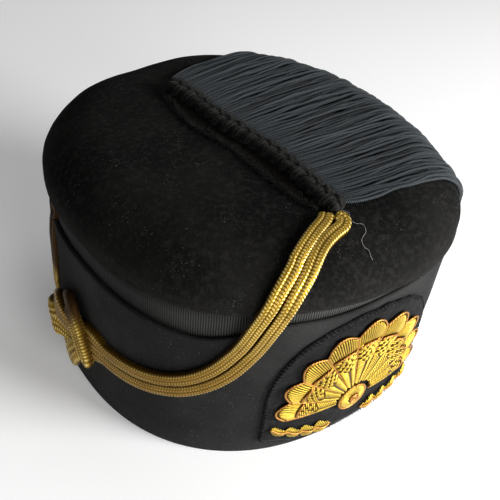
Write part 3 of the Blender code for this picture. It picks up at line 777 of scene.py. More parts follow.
@dataclass(frozen=True)
class Cloth(Finish):
    """Milled wool cloth, with a faint twill under the nap and painted light that makes its lower rim paler.
    """

    colour: Colour
    # paler tone of the cloth, also used for the painted light on its lower rim
    pale_and_lit: Colour
    # painted light: height and strength of the paler lower rim
    rim_light_height: float = 0.014
    rim_light_share: float = 0.7
    twill: float = 420.0  # twill lines round the cuff
    twill_rise: float = 0.0011  # distance between two lines up the cuff
    twill_share: float = 0.5
    patches: Mottle = Mottle(36.0, 4.0, 0.35, 0.75)
    specks: Mottle = Mottle(1500.0, 0.0, 0.77, 0.81, 0.35)
    pile_scale: float = 1300.0
    relief: float = 0.00025

    def make(self) -> bpy.types.Material:
        """Build the material."""
        tree = ShaderTree(self.name)
        turns, _ = tree.surface_map()
        height = tree.attribute("height")
        pile = tree.noise(self.pile_scale, 3.0)
        twill = ((turns * self.twill + height * (1.0 / self.twill_rise)) * FULL_TURN).wave()
        # painted light: paler cloth towards the cuff's lower rim
        lit_rim = 1.0 - height.between(0.0, self.rim_light_height)
        colour = tree.blend(self.patches.cover(tree), self.colour, self.pale_and_lit)
        colour = tree.blend(twill * pile * self.twill_share, colour, self.pale_and_lit)
        colour = tree.blend(lit_rim * pile * self.rim_light_share, colour, self.pale_and_lit)
        colour = tree.blend(self.specks.cover(tree), colour, LINT)
        return tree.shade({
            "Base Color": colour, "Roughness": 0.9,
            "Normal": tree.bump(pile * 0.8 + twill * 0.3, self.relief, 0.8), "Sheen Weight": 0.04,
            "Sheen Roughness": 0.4, "Sheen Tint": (0.82, 0.82, 0.82), "Specular IOR Level": 0.05,
        })


@dataclass(frozen=True)
class Grosgrain(Finish):
    """Ribbed ribbon: each rib is bound by fine threads across it."""

    colour: Colour
    groove: Colour
    rib_span: Span = (0.15, 0.95)  # crests where the rib's colour comes in
    thread_pitch: float = 0.0004
    thread_relief: float = 0.00006
    side_shade: float = 0.85  # painted shade: colour lost on the ribbon's shaded side by the knot
    patches: Mottle = Mottle(60.0, 3.0, 0.4, 0.8, 0.4)

    def make(self) -> bpy.types.Material:
        """Build the material."""
        tree = ShaderTree(self.name)
        rib = tree.attribute("crest").between(*self.rib_span)
        threads = (tree.attribute("height") * (FULL_TURN / self.thread_pitch)).wave()
        colour = tree.blend(rib, self.groove, self.colour)
        colour = tree.blend(self.patches.cover(tree), colour, self.groove)
        # painted shade: the ribbon's side by the knot is darkened
        colour = tree.blend(tree.attribute("shaded_side") * self.side_shade, colour, self.groove)
        return tree.shade({
            "Base Color": colour, "Roughness": 0.6,
            "Normal": tree.bump(threads, self.thread_relief, 0.6), "Sheen Weight": 0.02,
            "Specular IOR Level": 0.15,
        })


@dataclass(frozen=True)
class GiltThread(Finish):
    """Gilt metal thread, dark in its grooves, bright on its crests and darkened by painted shade where it
    lies in shadow.
    """

    groove: Colour
    colour: Colour
    crest: Colour
    # painted shade: colour that the cord takes where it lies in shadow
    shade_colour: Colour
    roughness: float
    threads: float  # fine threads in one stitch or one turn of its lay
    relief: float = 0.00005
    metallic: float = 0.9
    specular: float = 0.5
    stops: Span = (0.45, 0.95)  # depths where the colour and the crest are reached
    thread_share: float = 0.3  # share of the depth that a fine thread makes
    tarnish: Mottle = Mottle(110.0, 3.0, 0.45, 0.8, 0.35)
    unevenness: float = 0.18  # of the roughness

    def make(self) -> bpy.types.Material:
        """Build the material."""
        tree = ShaderTree(self.name)
        thread = (tree.attribute("lay") * (self.threads * FULL_TURN)).wave()
        depth = tree.attribute("crest") * (thread * self.thread_share + (1.0 - self.thread_share))
        middle, bright = self.stops
        colour = tree.ramp(depth, ((0.0, self.groove), (middle, self.colour), (bright, self.crest)))
        colour = tree.blend(self.tarnish.cover(tree), colour, self.groove)
        # painted shade on the cord where it lies in shadow
        colour = tree.blend(tree.attribute("cord_shade"), colour, self.shade_colour)
        smoothest = self.roughness - self.unevenness / 2
        return tree.shade({
            "Base Color": colour, "Metallic": self.metallic, "Specular IOR Level": self.specular,
            "Roughness": self.tarnish.noise(tree) * self.unevenness + smoothest,
            "Normal": tree.bump(thread, self.relief, 0.7),
        })


@dataclass(frozen=True)
class Yarn(Finish):
    """Twisted cord or yarn, each one a little lighter or darker than the next."""

    colour: Colour
    pale: Colour
    gap: Colour
    roughness: float
    pitch: float  # distance between two plies along the yarn
    plies: int
    relief: float = 0.00018
    gap_share: float = 0.75
    sheen: float = 0.1
    cloud_scale: float = 90.0
    cloud_share: float = 0.25  # share of the colour's change that is cloudy

    def make(self) -> bpy.types.Material:
        """Build the material."""
        tree = ShaderTree(self.name)
        turns, run = tree.surface_map()
        strand = tree.attribute("shade") * (1.0 - self.cloud_share)
        ply = ((run * (1.0 / self.pitch) + turns * self.plies) * FULL_TURN).wave()
        clouds = tree.noise(self.cloud_scale, 3.0) * self.cloud_share
        colour = tree.blend(strand + clouds, self.colour, self.pale)
        colour = tree.blend((1.0 - ply) ** 2.0 * self.gap_share, colour, self.gap)
        return tree.shade({
            "Base Color": colour, "Roughness": self.roughness,
            "Normal": tree.bump(ply, self.relief, 0.8), "Sheen Weight": self.sheen,
            "Sheen Roughness": 0.4, "Specular IOR Level": 0.3,
        })


CROWN_FELT = Felt(
    "crown_felt", Slot.FELT, (0.0036, 0.0036, 0.0036), (0.0165, 0.0161, 0.0148), sheen=0.015, specular=0.02
)
PATCH_FELT = Felt("patch_felt_nap", Slot.PATCH, (0.006, 0.006, 0.0064), (0.015, 0.015, 0.0155))
CUFF_CLOTH = Cloth("cuff_cloth", Slot.CLOTH, (0.014, 0.014, 0.014), (0.029, 0.029, 0.0285))
RIBBON_WEAVE = Grosgrain("ribbon_weave", Slot.GROSGRAIN, (0.054, 0.054, 0.049), (0.005, 0.005, 0.005))
BRAID_GILT = GiltThread(
    "braid_gilt", Slot.BRAID,
    (0.045, 0.015, 0.001), (0.58, 0.36, 0.034), (1.00, 0.9, 0.46), (0.155, 0.072, 0.004),
    0.36, 3.0, metallic=0.65, stops=(0.42, 0.84), specular=0.2,
)
# painted shade: darker, duller copy of the braid's gilt for the rear pair, which lies in shadow
SHADED_BRAID_GILT = replace(BRAID_GILT, name="shaded_braid_gilt", shade_colour=(0.058, 0.027, 0.006), roughness=0.6)
BULLION_GILT = GiltThread(
    "bullion_gilt", Slot.BULLION,
    (0.07, 0.028, 0.002), (0.5, 0.31, 0.026), (0.72, 0.54, 0.085), (0.3, 0.14, 0.02),
    0.34, 1.0,
)
COUCHING_GILT = GiltThread(
    "couching_gilt", Slot.BULLION,
    (0.07, 0.022, 0.004), (0.46, 0.2, 0.04), (0.85, 0.48, 0.14), (0.2, 0.09, 0.02),
    0.36, 1.0,
)
STRAND_YARN = Yarn(
    "strand_yarn", Slot.FRINGE,
    (0.0115, 0.0155, 0.0185), (0.044, 0.055, 0.062), (0.002, 0.0026, 0.0032),
    0.6, 0.00105, 2, relief=0.00034, gap_share=0.95, sheen=0.04,
)
# painted shade: a darker copy of the strand yarn for the layer that lies under the others
UNDER_YARN = Yarn(
    "under_yarn", Slot.FRINGE, (0.006, 0.008, 0.01), (0.016, 0.02, 0.024), (0.003, 0.004, 0.005),
    0.7, 0.00072, 2,
)
TAPE_WOOL = Felt(
    "tape_wool", Slot.FRINGE, (0.0048, 0.0043, 0.0034), (0.0105, 0.0096, 0.0078),
    sheen=0.02, specular=0.02,
)
PLAIT_YARN = Yarn(
    "plait_yarn", Slot.FRINGE, (0.005, 0.0047, 0.004), (0.023, 0.0218, 0.019), (0.0018, 0.0017, 0.0015),
    0.9, 0.0015, 4, relief=0.00045, gap_share=0.8, sheen=0.05,
)
DARK_THREAD = Yarn(
    "dark_thread", Slot.PATCH, (0.006, 0.006, 0.007), (0.024, 0.024, 0.025), (0.004, 0.004, 0.004),
    0.8, 0.0005, 2,
)
PALE_THREAD = Yarn(
    "pale_thread", Slot.FRINGE, (0.2, 0.19, 0.19), (0.46, 0.44, 0.46), (0.08, 0.08, 0.08), 0.8, 0.0006, 2
)


# Crown, ribbon and cuff

@dataclass(frozen=True)
class Crown:
    """Felt hood: its wall runs up inside the cuff, rolls out over the ribbon and turns over the top."""

    form: HatForm
    columns: int = 288
    felt: float = 0.002
    wall_heights: Floats = (0.0018, 0.02, 0.04, 0.057, 0.064)
    inner_joint: float = 0.0875
    cuff_room: float = 0.0023
    ribbon_room: float = 0.0013
    step: Span = (0.057, 0.064)  # heights between which the wall steps in
    last_ring: float = 0.975  # share of the top's length under rings
    lip_squareness: float = 2.6
    swell: Lumps = Lumps(0.0004, 0.06, 3)
    dimple: Lumps = Lumps(0.0001, 0.014, 4)
    inner_rings_each: int = 14  # on the inner face's top, and again on its shoulder
    lining_rings: int = 7  # from the widest line down to the wall
    lip_rings: int = 11
    shoulder_rings: int = 42
    top_rings: int = 40
    edge_shares: Floats = (0.4, 0.8, 0.99)
    bulge_shares: Floats = (1.0, 0.75, 0.5, 0.25)
    rim_light_climb: float = 0.008  # height over which the painted light on the crown's lower edge fades out

    @property
    def last_climb(self) -> float:
        """Climb above the widest line of the ring round the middle of the top."""
        return self.form.shoulder_length + self.form.top_length * self.last_ring

    def wall(self, azimuth: Array, height: Reals, inward: float = 0.0) -> Array:
        """Ring of the wall behind the cuff and the ribbon."""
        step = smooth_step(*self.step, height)
        offset = -(self.cuff_room + self.ribbon_room * step + inward)
        return self.form.cuff_face(azimuth, height, offset)

    def inner_rings(self, azimuth: Array) -> list[Array]:
        """Rings of the inner face from the middle of the top down to the rim."""
        form = self.form
        climbs = form.widest + np.concatenate([
            np.linspace(self.last_climb, form.shoulder_length, self.inner_rings_each),
            np.linspace(form.shoulder_length, 0.0, self.inner_rings_each)[1:],
        ])
        rings = [
            form.skin(azimuth, climb) - form.skin_normal(azimuth, climb) * self.felt for climb in climbs
        ]
        drop = form.edge_drop(azimuth)
        for height in np.linspace(form.widest, self.inner_joint, self.lining_rings)[1:]:
            share = smooth_step(self.inner_joint, form.widest, height)
            ring = mix(self.wall(azimuth, height - drop, self.felt), rings[len(climbs) - 1], share)
            ring[:, 2] = height - drop
            rings.append(ring)
        rings += [self.wall(azimuth, height, self.felt) for height in self.wall_heights[::-1]]
        return rings

    def outer_rings(self, azimuth: Array) -> list[Array]:
        """Rings of the outer face from the rim up to the middle of the top."""
        form = self.form
        drop = form.edge_drop(azimuth)
        rings = [self.wall(azimuth, height) for height in self.wall_heights]
        edge = form.crown_edge - drop
        rings += [self.wall(azimuth, mix(self.wall_heights[-1], edge, share)) for share in self.edge_shares]
        wall_end = self.wall(azimuth, edge)
        widest = form.skin(azimuth, form.widest - drop)
        power = 2.0 / self.lip_squareness
        for turn in np.linspace(0.0, QUARTER_TURN, self.lip_rings)[1:-1]:
            ring = mix(wall_end, widest, math.sin(turn) ** power)
            ring[:, 2] = mix(edge, form.widest - drop, 1.0 - math.cos(turn) ** power)
            rings.append(ring)
        climbs = [form.widest - drop * share for share in self.bulge_shares]
        climbs += list(form.widest + np.concatenate([
            np.linspace(0.0, form.shoulder_length, self.shoulder_rings),
            np.linspace(form.shoulder_length, self.last_climb, self.top_rings)[1:],
        ]))
        shown = [form.skin(azimuth, climb) for climb in climbs]
        normals = [form.skin_normal(azimuth, climb) for climb in climbs]
        for ring, normal in zip(shown, normals):
            ring += normal * (self.swell.at(ring) + self.dimple.at(ring))[:, None]
        return rings + shown

    def build(self) -> None:
        """Model the hood."""
        azimuth = around(self.columns)
        inner = self.inner_rings(azimuth)
        laid = capped(np.stack(inner + self.outer_rings(azimuth)))
        # painted light: a paler band round the crown's lower edge, fading out above and below it
        over_edge = laid[..., 2] - (self.form.crown_edge - self.form.edge_drop(azimuth))
        pale_and_lit = np.exp(-np.abs(over_edge) / self.rim_light_climb)
        pale_and_lit[:len(inner) + 1] = 0.0
        CROWN_FELT.dress(laid_copies("crown_felt", laid[None], values={"pale_and_lit": pale_and_lit}), "crown")


@dataclass(frozen=True)
class Ribbon:
    """Grosgrain band round the crown, with a real rib for each weft bundle."""

    form: HatForm
    ribs: int = 560
    columns_per_rib: int = 4
    bottom: float = 0.065
    top: float = 0.09
    cuff_room: float = 0.0023
    thickness: float = 0.001
    rib_depth: float = 0.00026
    shade_azimuth: float = math.radians(-100)  # painted shade: the side by the knot is darkened
    shade_reach: Span = (math.radians(28), math.radians(58))
    rows: int = 5

    def build(self) -> None:
        """Model the band."""
        azimuth = around(self.ribs * self.columns_per_rib)
        crest = np.abs(np.cos(azimuth * self.ribs / 2))
        outer = -self.cuff_room - self.rib_depth * (1.0 - crest)
        inner = -self.cuff_room - self.thickness
        top = self.top - self.form.edge_drop(azimuth)
        levels = [mix(self.bottom, top, share) for share in shares(self.rows)]
        rings = [self.form.cuff_face(azimuth, level, outer) for level in levels]
        rings += [self.form.cuff_face(azimuth, level, inner) for level in (top, levels[0])]
        rings.append(rings[0])
        laid = np.stack(rings)[None]
        # painted shade on the side by the knot
        shaded_side = 1.0 - smooth_step(*self.shade_reach, np.abs(turn_from(self.shade_azimuth, azimuth)))
        values = {"crest": crest, "height": laid[..., 2], "shaded_side": shaded_side}
        RIBBON_WEAVE.dress(laid_copies("ribbon_band", laid, values=values), "grosgrain_ribbon")


@dataclass(frozen=True)
class Cuff:
    """Turned-up cloth band with a rolled top edge and its fold under the crown's felt."""

    form: HatForm
    columns: int = 288
    rows: int = 34
    thickness: float = 0.002
    fold_depth: float = 0.0043
    fold_height: float = 0.0015
    edge_radius: float = 0.001
    rim_radius: float = 0.0006
    swell: Lumps = Lumps(0.00022, 0.05, 22)
    swell_start: float = 0.02  # height over which the swell comes in from the rim
    edge_wave: Lumps = Lumps(0.0005, 0.9, 21)
    rim_rows: int = 4
    edge_rows: int = 9
    inside_rows: int = 7

    def section(self) -> list[tuple[float, float, float]]:
        """Offset, height and share of the top's height, once round the closed section."""
        edge, rim, fold = self.edge_radius, self.rim_radius, -self.fold_depth
        quarter = np.linspace(QUARTER_TURN, 0.0, self.rim_rows)

        def arc(offset: float, height: float, radius: float, turns: Array, share: float) -> list:
            return [(offset + radius * math.cos(t), height - radius * math.sin(t), share) for t in turns]

        return [
            *arc(-rim, rim, rim, quarter, 0.0),
            *((0.0, mix(rim, -edge, share), share) for share in shares(self.rows)[1:-1]),
            *arc(-edge, -edge, edge, np.linspace(0.0, -math.pi, self.edge_rows), 1.0),
            *(
                (-self.thickness, mix(-edge, self.fold_height, share), 1.0 - share)
                for share in shares(self.inside_rows)[1:]
            ),
            (fold, self.fold_height, 0.0),
            *arc(fold + rim, rim, rim, math.pi - quarter[::-1], 0.0),
            (-rim, 0.0, 0.0),
        ]

    def build(self) -> None:
        """Model the band."""
        azimuth = around(self.columns)
        circle = as_points(np.cos(azimuth), np.sin(azimuth), np.zeros(len(azimuth)))
        top = self.form.cuff_top(azimuth) + self.edge_wave.at(circle)
        rings = []
        for offset, height, share in self.section():
            level = height + top * share
            ring = self.form.cuff_face(azimuth, level, offset)
            normal = self.form.cuff_face(azimuth, level, offset + 1.0) - ring
            wave = self.swell.at(ring) * smooth_step(0.0, self.swell_start, level)
            rings.append(ring + unit(normal) * wave[:, None])
        laid = np.stack(rings)[None]
        CUFF_CLOTH.dress(laid_copies("cuff_band", laid, values={"height": laid[..., 2]}), "cuff")


# Badge

@dataclass(frozen=True)
class Badge:
    """Padded felt patch with a palmette, a boss and two leaf sprays in gilt wire."""

    form: HatForm
    gap: float = 0.0003
    arc_radius: float = 0.0975
    shift: float = -0.002
    patch_thickness: float = 0.0015
    margin: float = 0.0045
    patch_bottom: float = 0.0035
    corner_rise: float = 0.005
    patch_shoulder: float = 0.03
    patch_squareness: float = 2.4
    stitch_relief: float = 0.0007
    petal_relief: float = 0.0024
    fan_centre: float = 0.025
    fan_height: float = 0.0515
    fan_side: float = 0.041
    fan_root: float = 0.01
    fan_half_angle: float = math.radians(91)
    petals: int = 9
    petal_notch: float = 0.87
    petal_arch: Span = (0.22, 0.9)  # part of a half wave that a petal's relief follows
    petal_fullness: float = 0.7
    wire_radius: float = 0.00039
    wire_pitch: float = 0.00096
    coil_pitch: float = 0.0003
    outline_radius: float = 0.00045
    rosette_radius: float = 0.0082
    spray_reach: Span = (0.01, 0.041)
    spray_height: float = 0.0105
    spray_half_height: float = 0.0052
    spray_lift: float = 0.008
    spray_leaves: int = 4
    spray_neck: float = 0.3  # share of its width left between two leaves
    spray_taper: float = 0.62  # and at its tip
    spray_rise: float = 0.8  # share of the petals' relief
    spray_spans: Span = (0.01, 0.985)  # shares of its length under wires
    spray_pitch: float = 1.15  # in wire pitches
    spray_gap: float = 0.0003
    spray_slant: float = 0.55
    patch_grid: tuple[int, int] = (78, 96)  # rows and columns
    patch_rim: float = 0.0006  # thickness at the cut edge
    rim_spans: Span = (0.035, 0.012)  # the rim's shares of height and half width
    cut_spans: Span = (0.1, 0.05)  # shares over which the uneven cut fades out
    cut: Lumps = Lumps(0.0004, 0.009, 31)
    pucker: Lumps = Lumps(0.00012, 0.006, 32)
    wire_grid: tuple[int, int] = (8, 6)  # rows and columns of a wire
    couching: Lay = Lay(0.0026, 2, 0.22)
    couching_row: float = 0.00045  # distance between two rows of a couched cord
    couching_seat: float = 0.6  # height of its middle over the padding, in radii
    bed_sink: float = 0.0002  # how far the padding stays below its wires
    bed_margin: float = 0.0003
    bed_edge: float = 0.03  # share of a petal where the padding comes up
    petal_fill: float = 0.9  # share of a petal's angle under wires
    tip_band: float = 0.76  # shares of a petal's reach where its bands begin
    chip_band: float = 0.55
    tip_margin: float = 0.0006
    tip_sag: float = 0.0012
    foot_band: float = 0.755  # share of a petal's reach where its foot cord lies
    foot_sag: float = 0.0016
    foot_half: float = 0.45  # half of the foot cord, as a share of the petal's angle
    chip_row: float = 0.00165  # distance between two rows of chips
    chip_margin: float = 0.0008
    chip_pitch: float = 0.0026
    chip_half: float = 0.0011
    chip_slant: float = 0.0003
    chip_strands: float = 0.98  # distance between a chip's two strands, in wire pitches
    vein_half: float = 0.00025  # half of the gap along a petal's middle line
    root_margins: Span = (0.0004, 0.0022)
    root_slant: float = 0.75
    boss_count: int = 56
    boss_inner: Span = (0.0026, 0.004)  # every second wire starts farther out
    boss_margins: Span = (0.0008, 0.0005)  # of the wires' ends and of the ring
    boss_foot: float = 0.0004
    boss_rise: float = 0.85  # share of the petals' relief
    coil_radii: Span = (0.0003, 0.0029)
    coil_turns: float = 2.6
    stitches: int = 150
    stitch_reach: Span = (0.001, 0.0019)
    stitch_lean: Span = (0.2, 0.9)
    stitch_overhang: float = 0.0007
    stitch_shift: float = 0.0002
    stitch_radius: float = 0.00017
    stitch_length: float = 0.003
    stitch_seed: int = 41
    stitched_share: float = 0.97  # of the patch's half width
    stitch_centre: float = 0.037  # height of the place that the stitches point to
    stitch_arch: float = 0.62  # part of a half wave that a stitch follows

    @property
    def bed(self) -> float:
        """Offset of the plane that the embroidery rises from."""
        return 2 * self.gap + self.patch_thickness

    @property
    def petal_angle(self) -> float:
        """Angle that a petal takes up."""
        return 2 * self.fan_half_angle / self.petals

    @property
    def petal_axes(self) -> Array:
        """Bearings of the petals' middles."""
        return -self.fan_half_angle + (np.arange(self.petals) + 0.5) * self.petal_angle

    def on_cuff(self, place: Array, offset: Reals) -> Array:
        """Points over the cuff's front, from their across and height."""
        azimuth = (place[..., 0] + self.shift) / self.arc_radius
        return self.form.cuff_face(azimuth, place[..., 1], offset)

    def outward(self, place: Array) -> Array:
        """Normals of the cuff's front."""
        sideways, upward = (
            self.on_cuff(place + step, 0.0) - self.on_cuff(place - step, 0.0)
            for step in MILLIMETRE * np.eye(2)
        )
        return unit(np.cross(sideways, upward))

    def patch_edge(self, side: Array) -> tuple[Array, Array]:
        """Lowest and highest heights of the patch, by side from -1 to 1."""
        low = self.patch_bottom + self.corner_rise * np.abs(side) ** 3
        arch = (1.0 - np.abs(side) ** self.patch_squareness) ** (1.0 / self.patch_squareness)
        return low, mix(self.patch_shoulder, self.fan_centre + self.fan_height + self.margin, arch)

    def build_patch(self) -> None:
        """Felt backing, its edge cut a little unevenly and its face lifted by the padding."""
        rows, columns = self.patch_grid
        side = np.sin(np.linspace(-QUARTER_TURN, QUARTER_TURN, columns))[None, :]
        along = shares(rows)[:, None]
        across = side * (self.fan_side + self.margin)
        height = mix(*self.patch_edge(side), along)
        flat = as_points(across, height, 0.0)
        uneven = self.cut.at(flat)
        from_ends, from_sides = np.minimum(along, 1.0 - along), 1.0 - np.abs(side)
        height = height + uneven * (1.0 - smooth_step(0.0, self.cut_spans[0], from_ends))
        across = across + uneven * (1.0 - smooth_step(0.0, self.cut_spans[1], from_sides))
        top = self.gap + self.patch_thickness + self.pucker.at(flat)
        rim = smooth_step(0.0, self.rim_spans[0], from_ends)
        rim = np.minimum(rim, smooth_step(0.0, self.rim_spans[1], from_sides))
        place = as_points(across, height)
        upper = self.on_cuff(place, mix(self.gap + self.patch_rim, top, rim))
        lower = self.on_cuff(place, self.gap)
        laid = np.concatenate([lower[:1], upper, lower[-1:], lower[::-1][1:]])
        piece = laid_copies("badge_felt", laid[None], surface=(0.09, 0.15))
        close_sides(piece)
        PATCH_FELT.dress(piece, "badge_patch")

    def petal_swell(self, bearing: Array) -> Array:
        """Rise from 0 between two petals to 1 at a petal's middle."""
        return np.abs(np.sin(math.pi * self.petals * (bearing / self.fan_half_angle + 1.0) / 2.0))

    def reach(self, bearing: Array) -> Array:
        """Length of the fan at a bearing, with a notch between two petals."""
        full = mix(self.fan_height, self.fan_side, np.sin(bearing) ** 2)
        return full * mix(self.petal_notch, 1.0, self.petal_swell(bearing))

    def fan_padding(self, place: Array) -> Array:
        """Rise of the padding over the patch."""
        across, above = place[..., 0], place[..., 1] - self.fan_centre
        bearing = np.clip(np.arctan2(across, above), -self.fan_half_angle, self.fan_half_angle)
        run = (np.hypot(across, above) - self.fan_root) / (self.reach(bearing) - self.fan_root)
        arch = np.sin(math.pi * mix(*self.petal_arch, np.clip(run, 0.0, 1.0)))
        swell = self.petal_swell(bearing) ** self.petal_fullness
        return mix(self.stitch_relief, self.petal_relief, swell * arch)

    def fan_place(self, bearing: Reals, distance: Reals) -> Array:
        """Across and height of places on the fan."""
        return as_points(distance * np.sin(bearing), self.fan_centre + distance * np.cos(bearing))

    def lay_wires(self, name: str, starts: Array, ends: Array, padding: Padding) -> Piece:
        """Short wires laid over padding.

        Args:
            name: Name of the piece.
            starts: Across and height of each wire's first end (wires, 2).
            ends: Those of its last end.
            padding: Rise of the padding at places.

        Returns:
            The joined wires.
        """
        rows, columns = self.wire_grid
        share = shares(rows)[None, :, None]
        place = mix(starts[:, None], ends[:, None], share)
        swing = 2.0 * share[..., 0] - 1.0
        offset = self.bed + padding(place) - swing ** 4 * self.wire_radius
        taper = np.sqrt(np.clip(1.0 - swing[0] ** 6, 0.0, 1.0))
        section = tube_section(columns, self.wire_radius, taper)
        lengths = np.linalg.norm(ends - starts, axis=1)
        lay = share * lengths[:, None, None] / self.coil_pitch + around(columns) / FULL_TURN
        values = {"crest": 0.5 + 0.5 * np.sin(around(columns)), "lay": lay}
        centres, normals = self.on_cuff(place, offset), self.outward(place)
        return swept(name, centres, normals, section, float(lengths.mean()), values)

    def lay_outline(self, name: str, lines: Sequence[Array], padding: Padding) -> Piece:
        """Couched cords along lines of across and height, joined in one piece."""
        pieces = []
        columns, radius, lay = self.wire_grid[1], self.outline_radius, self.couching
        for number, line in enumerate(lines):
            length = distances(line)[-1]
            rows = max(FEWEST_ROWS, int(length / self.couching_row))
            place = respaced(line, (), rows)[0]
            offset = self.bed + padding(place) + radius * self.couching_seat
            centres, normals = self.on_cuff(place, offset)[None], self.outward(place)[None]
            run = length * shares(rows)
            section = tube_section(columns, radius, end_taper(rows, length, radius), run, lay)
            strands = lay.plies * (run[:, None] / lay.pitch + around(columns) / FULL_TURN)
            values = {"crest": np.abs(np.cos(around(columns))), "lay": strands}
            pieces.append(swept(f"{name}_{number}", centres, normals, section, length, values))
        return joined(name, pieces)

    def petal_wires(self, axis: float) -> Iterator[tuple[Array, Array]]:
        """Ends of a petal's wires: upright at the tip, chips in the middle, slanted at the root."""
        half = self.petal_angle / 2 * self.petal_fill
        tip = self.reach(axis)
        tips_start, chips_start = tip * self.tip_band, tip * self.chip_band
        arc = half * 2 * tip * self.petal_fill
        for share in np.linspace(-1.0, 1.0, int(arc / self.wire_pitch)):
            bearing = axis + half * share
            start = self.fan_place(bearing, tips_start - self.tip_sag * share * share)
            yield start, self.fan_place(bearing, self.reach(bearing) - self.tip_margin)
        chip_rows = np.arange(chips_start, tips_start - self.chip_margin, self.chip_row)
        for row, distance in enumerate(chip_rows):
            count = max(2, int(2 * half * distance / self.chip_pitch))
            reach = self.chip_half / distance
            for chip in range(count):
                middle = axis + half * (2.0 * (chip + 0.5 + 0.25 * (row % 2 * 2 - 1)) / count - 1.0)
                for strand in (-1, 1):
                    spot = distance + strand * self.wire_pitch / 2 * self.chip_strands
                    start = self.fan_place(middle - reach, spot - self.chip_slant)
                    yield start, self.fan_place(middle + reach, spot + self.chip_slant)
        near, far = self.root_margins
        for side in (-1, 1):
            for distance in np.arange(self.fan_root + near, chips_start - far, self.wire_pitch):
                start = self.fan_place(axis + side * self.vein_half / distance, distance)
                yield start, self.fan_place(axis + side * half, distance * (1.0 + half * self.root_slant))

    def fan_lines(self) -> list[Array]:
        """Outline of the fan, the lines between its petals and the foot of its tip band."""
        per_petal, per_limit, per_foot = 24, 12, 16
        bearing = np.linspace(-self.fan_half_angle, self.fan_half_angle, self.petals * per_petal + 1)
        lines = [self.fan_place(bearing, self.reach(bearing))]
        for limit in bearing[::per_petal]:
            lines.append(self.fan_place(limit, mix(self.fan_root, self.reach(limit), shares(per_limit))))
        share = np.linspace(-1.0, 1.0, per_foot)
        for axis in self.petal_axes:
            arc = self.reach(axis) * self.foot_band - self.foot_sag * share * share
            lines.append(self.fan_place(axis + self.petal_angle * self.foot_half * share, arc))
        return lines

    def build_fan(self) -> None:
        """Palmette: padding, wires over it and the cords that outline its petals."""
        rows, columns = 26, self.petals * 12
        bearing = np.linspace(-self.fan_half_angle, self.fan_half_angle, columns + 1)
        along = shares(rows)[:, None]
        place = self.fan_place(bearing, mix(self.fan_root, self.reach(bearing) - self.bed_margin, along))
        edge = smooth_step(0.0, self.bed_edge, np.minimum(along, 1.0 - along))
        upper = self.on_cuff(place, self.bed + (self.fan_padding(place) - self.bed_sink) * edge)
        laid = np.concatenate([upper, self.on_cuff(place, self.bed)[::-1], upper[:1]])
        piece = laid_copies("palmette_bed", laid[None], surface=(0.13, 0.1), values={"crest": 0.05})
        close_sides(piece)
        BULLION_GILT.dress(piece, "badge_palmette")
        wires = np.array([wire for axis in self.petal_axes for wire in self.petal_wires(axis)])
        BULLION_GILT.dress(self.lay_wires("palmette_wires", wires[:, 0], wires[:, 1], self.fan_padding))
        COUCHING_GILT.dress(self.lay_outline("palmette_cords", self.fan_lines(), self.fan_padding))

    def boss_padding(self, place: Array) -> Array:
        """Rise of the boss."""
        share = np.hypot(place[..., 0], place[..., 1] - self.fan_centre) / self.rosette_radius
        dome = np.sqrt(np.clip(1.0 - share * share, 0.0, 1.0))
        return self.boss_foot + self.petal_relief * self.boss_rise * dome

    def build_boss(self) -> None:
        """Boss of wires laid from its middle to its rim, with a ring and a coiled middle."""
        turns = around(self.boss_count)[:-1]
        inner = np.array(self.boss_inner)[np.arange(self.boss_count) % 2]
        wires_end, ring_end = self.rosette_radius - np.array(self.boss_margins)
        starts, ends = self.fan_place(turns, inner), self.fan_place(turns, wires_end)
        BULLION_GILT.dress(self.lay_wires("boss_wires", starts, ends, self.boss_padding))
        share = shares(90)
        coil = self.fan_place(self.coil_turns * FULL_TURN * share, mix(*self.coil_radii, share))
        ring = self.fan_place(around(59), ring_end)
        COUCHING_GILT.dress(self.lay_outline("boss_cord", (ring, coil), self.boss_padding))
        place = self.fan_place(around(40), shares(12)[:, None] * (self.rosette_radius - 2 * self.bed_sink))
        upper = self.on_cuff(place, self.bed + self.boss_padding(place) - self.bed_sink)
        laid = np.concatenate([upper, self.on_cuff(place, self.bed)[::-1]])
        bed = laid_copies("boss_bed", laid[None], surface=(0.05, 0.02), values={"crest": 0.1})
        BULLION_GILT.dress(bed, "badge_rosette")

    def leaf_swell(self, along: Array) -> Array:
        """Rise from 0 between two leaves of a spray to 1 at a leaf's middle."""
        return np.abs(np.sin(math.pi * self.spray_leaves * along))

    def spray_height_at(self, along: Array) -> tuple[Array, Array]:
        """Middle and half height of a spray along its length."""
        half = self.spray_half_height * mix(self.spray_neck, 1.0, self.leaf_swell(along))
        half = half * mix(1.0, self.spray_taper, along)
        return self.spray_height + self.spray_lift * along ** 2, half

    def spray_padding(self, place: Array) -> Array:
        """Rise of a spray's leaves."""
        root, tip = self.spray_reach
        along = np.clip((np.abs(place[..., 0]) - root) / (tip - root), 0.0, 1.0)
        middle, half = self.spray_height_at(along)
        swing = np.clip((place[..., 1] - middle) / half, -1.0, 1.0)
        wave = self.leaf_swell(along) * (1.0 - swing * swing)
        return mix(self.stitch_relief, self.petal_relief * self.spray_rise, wave)

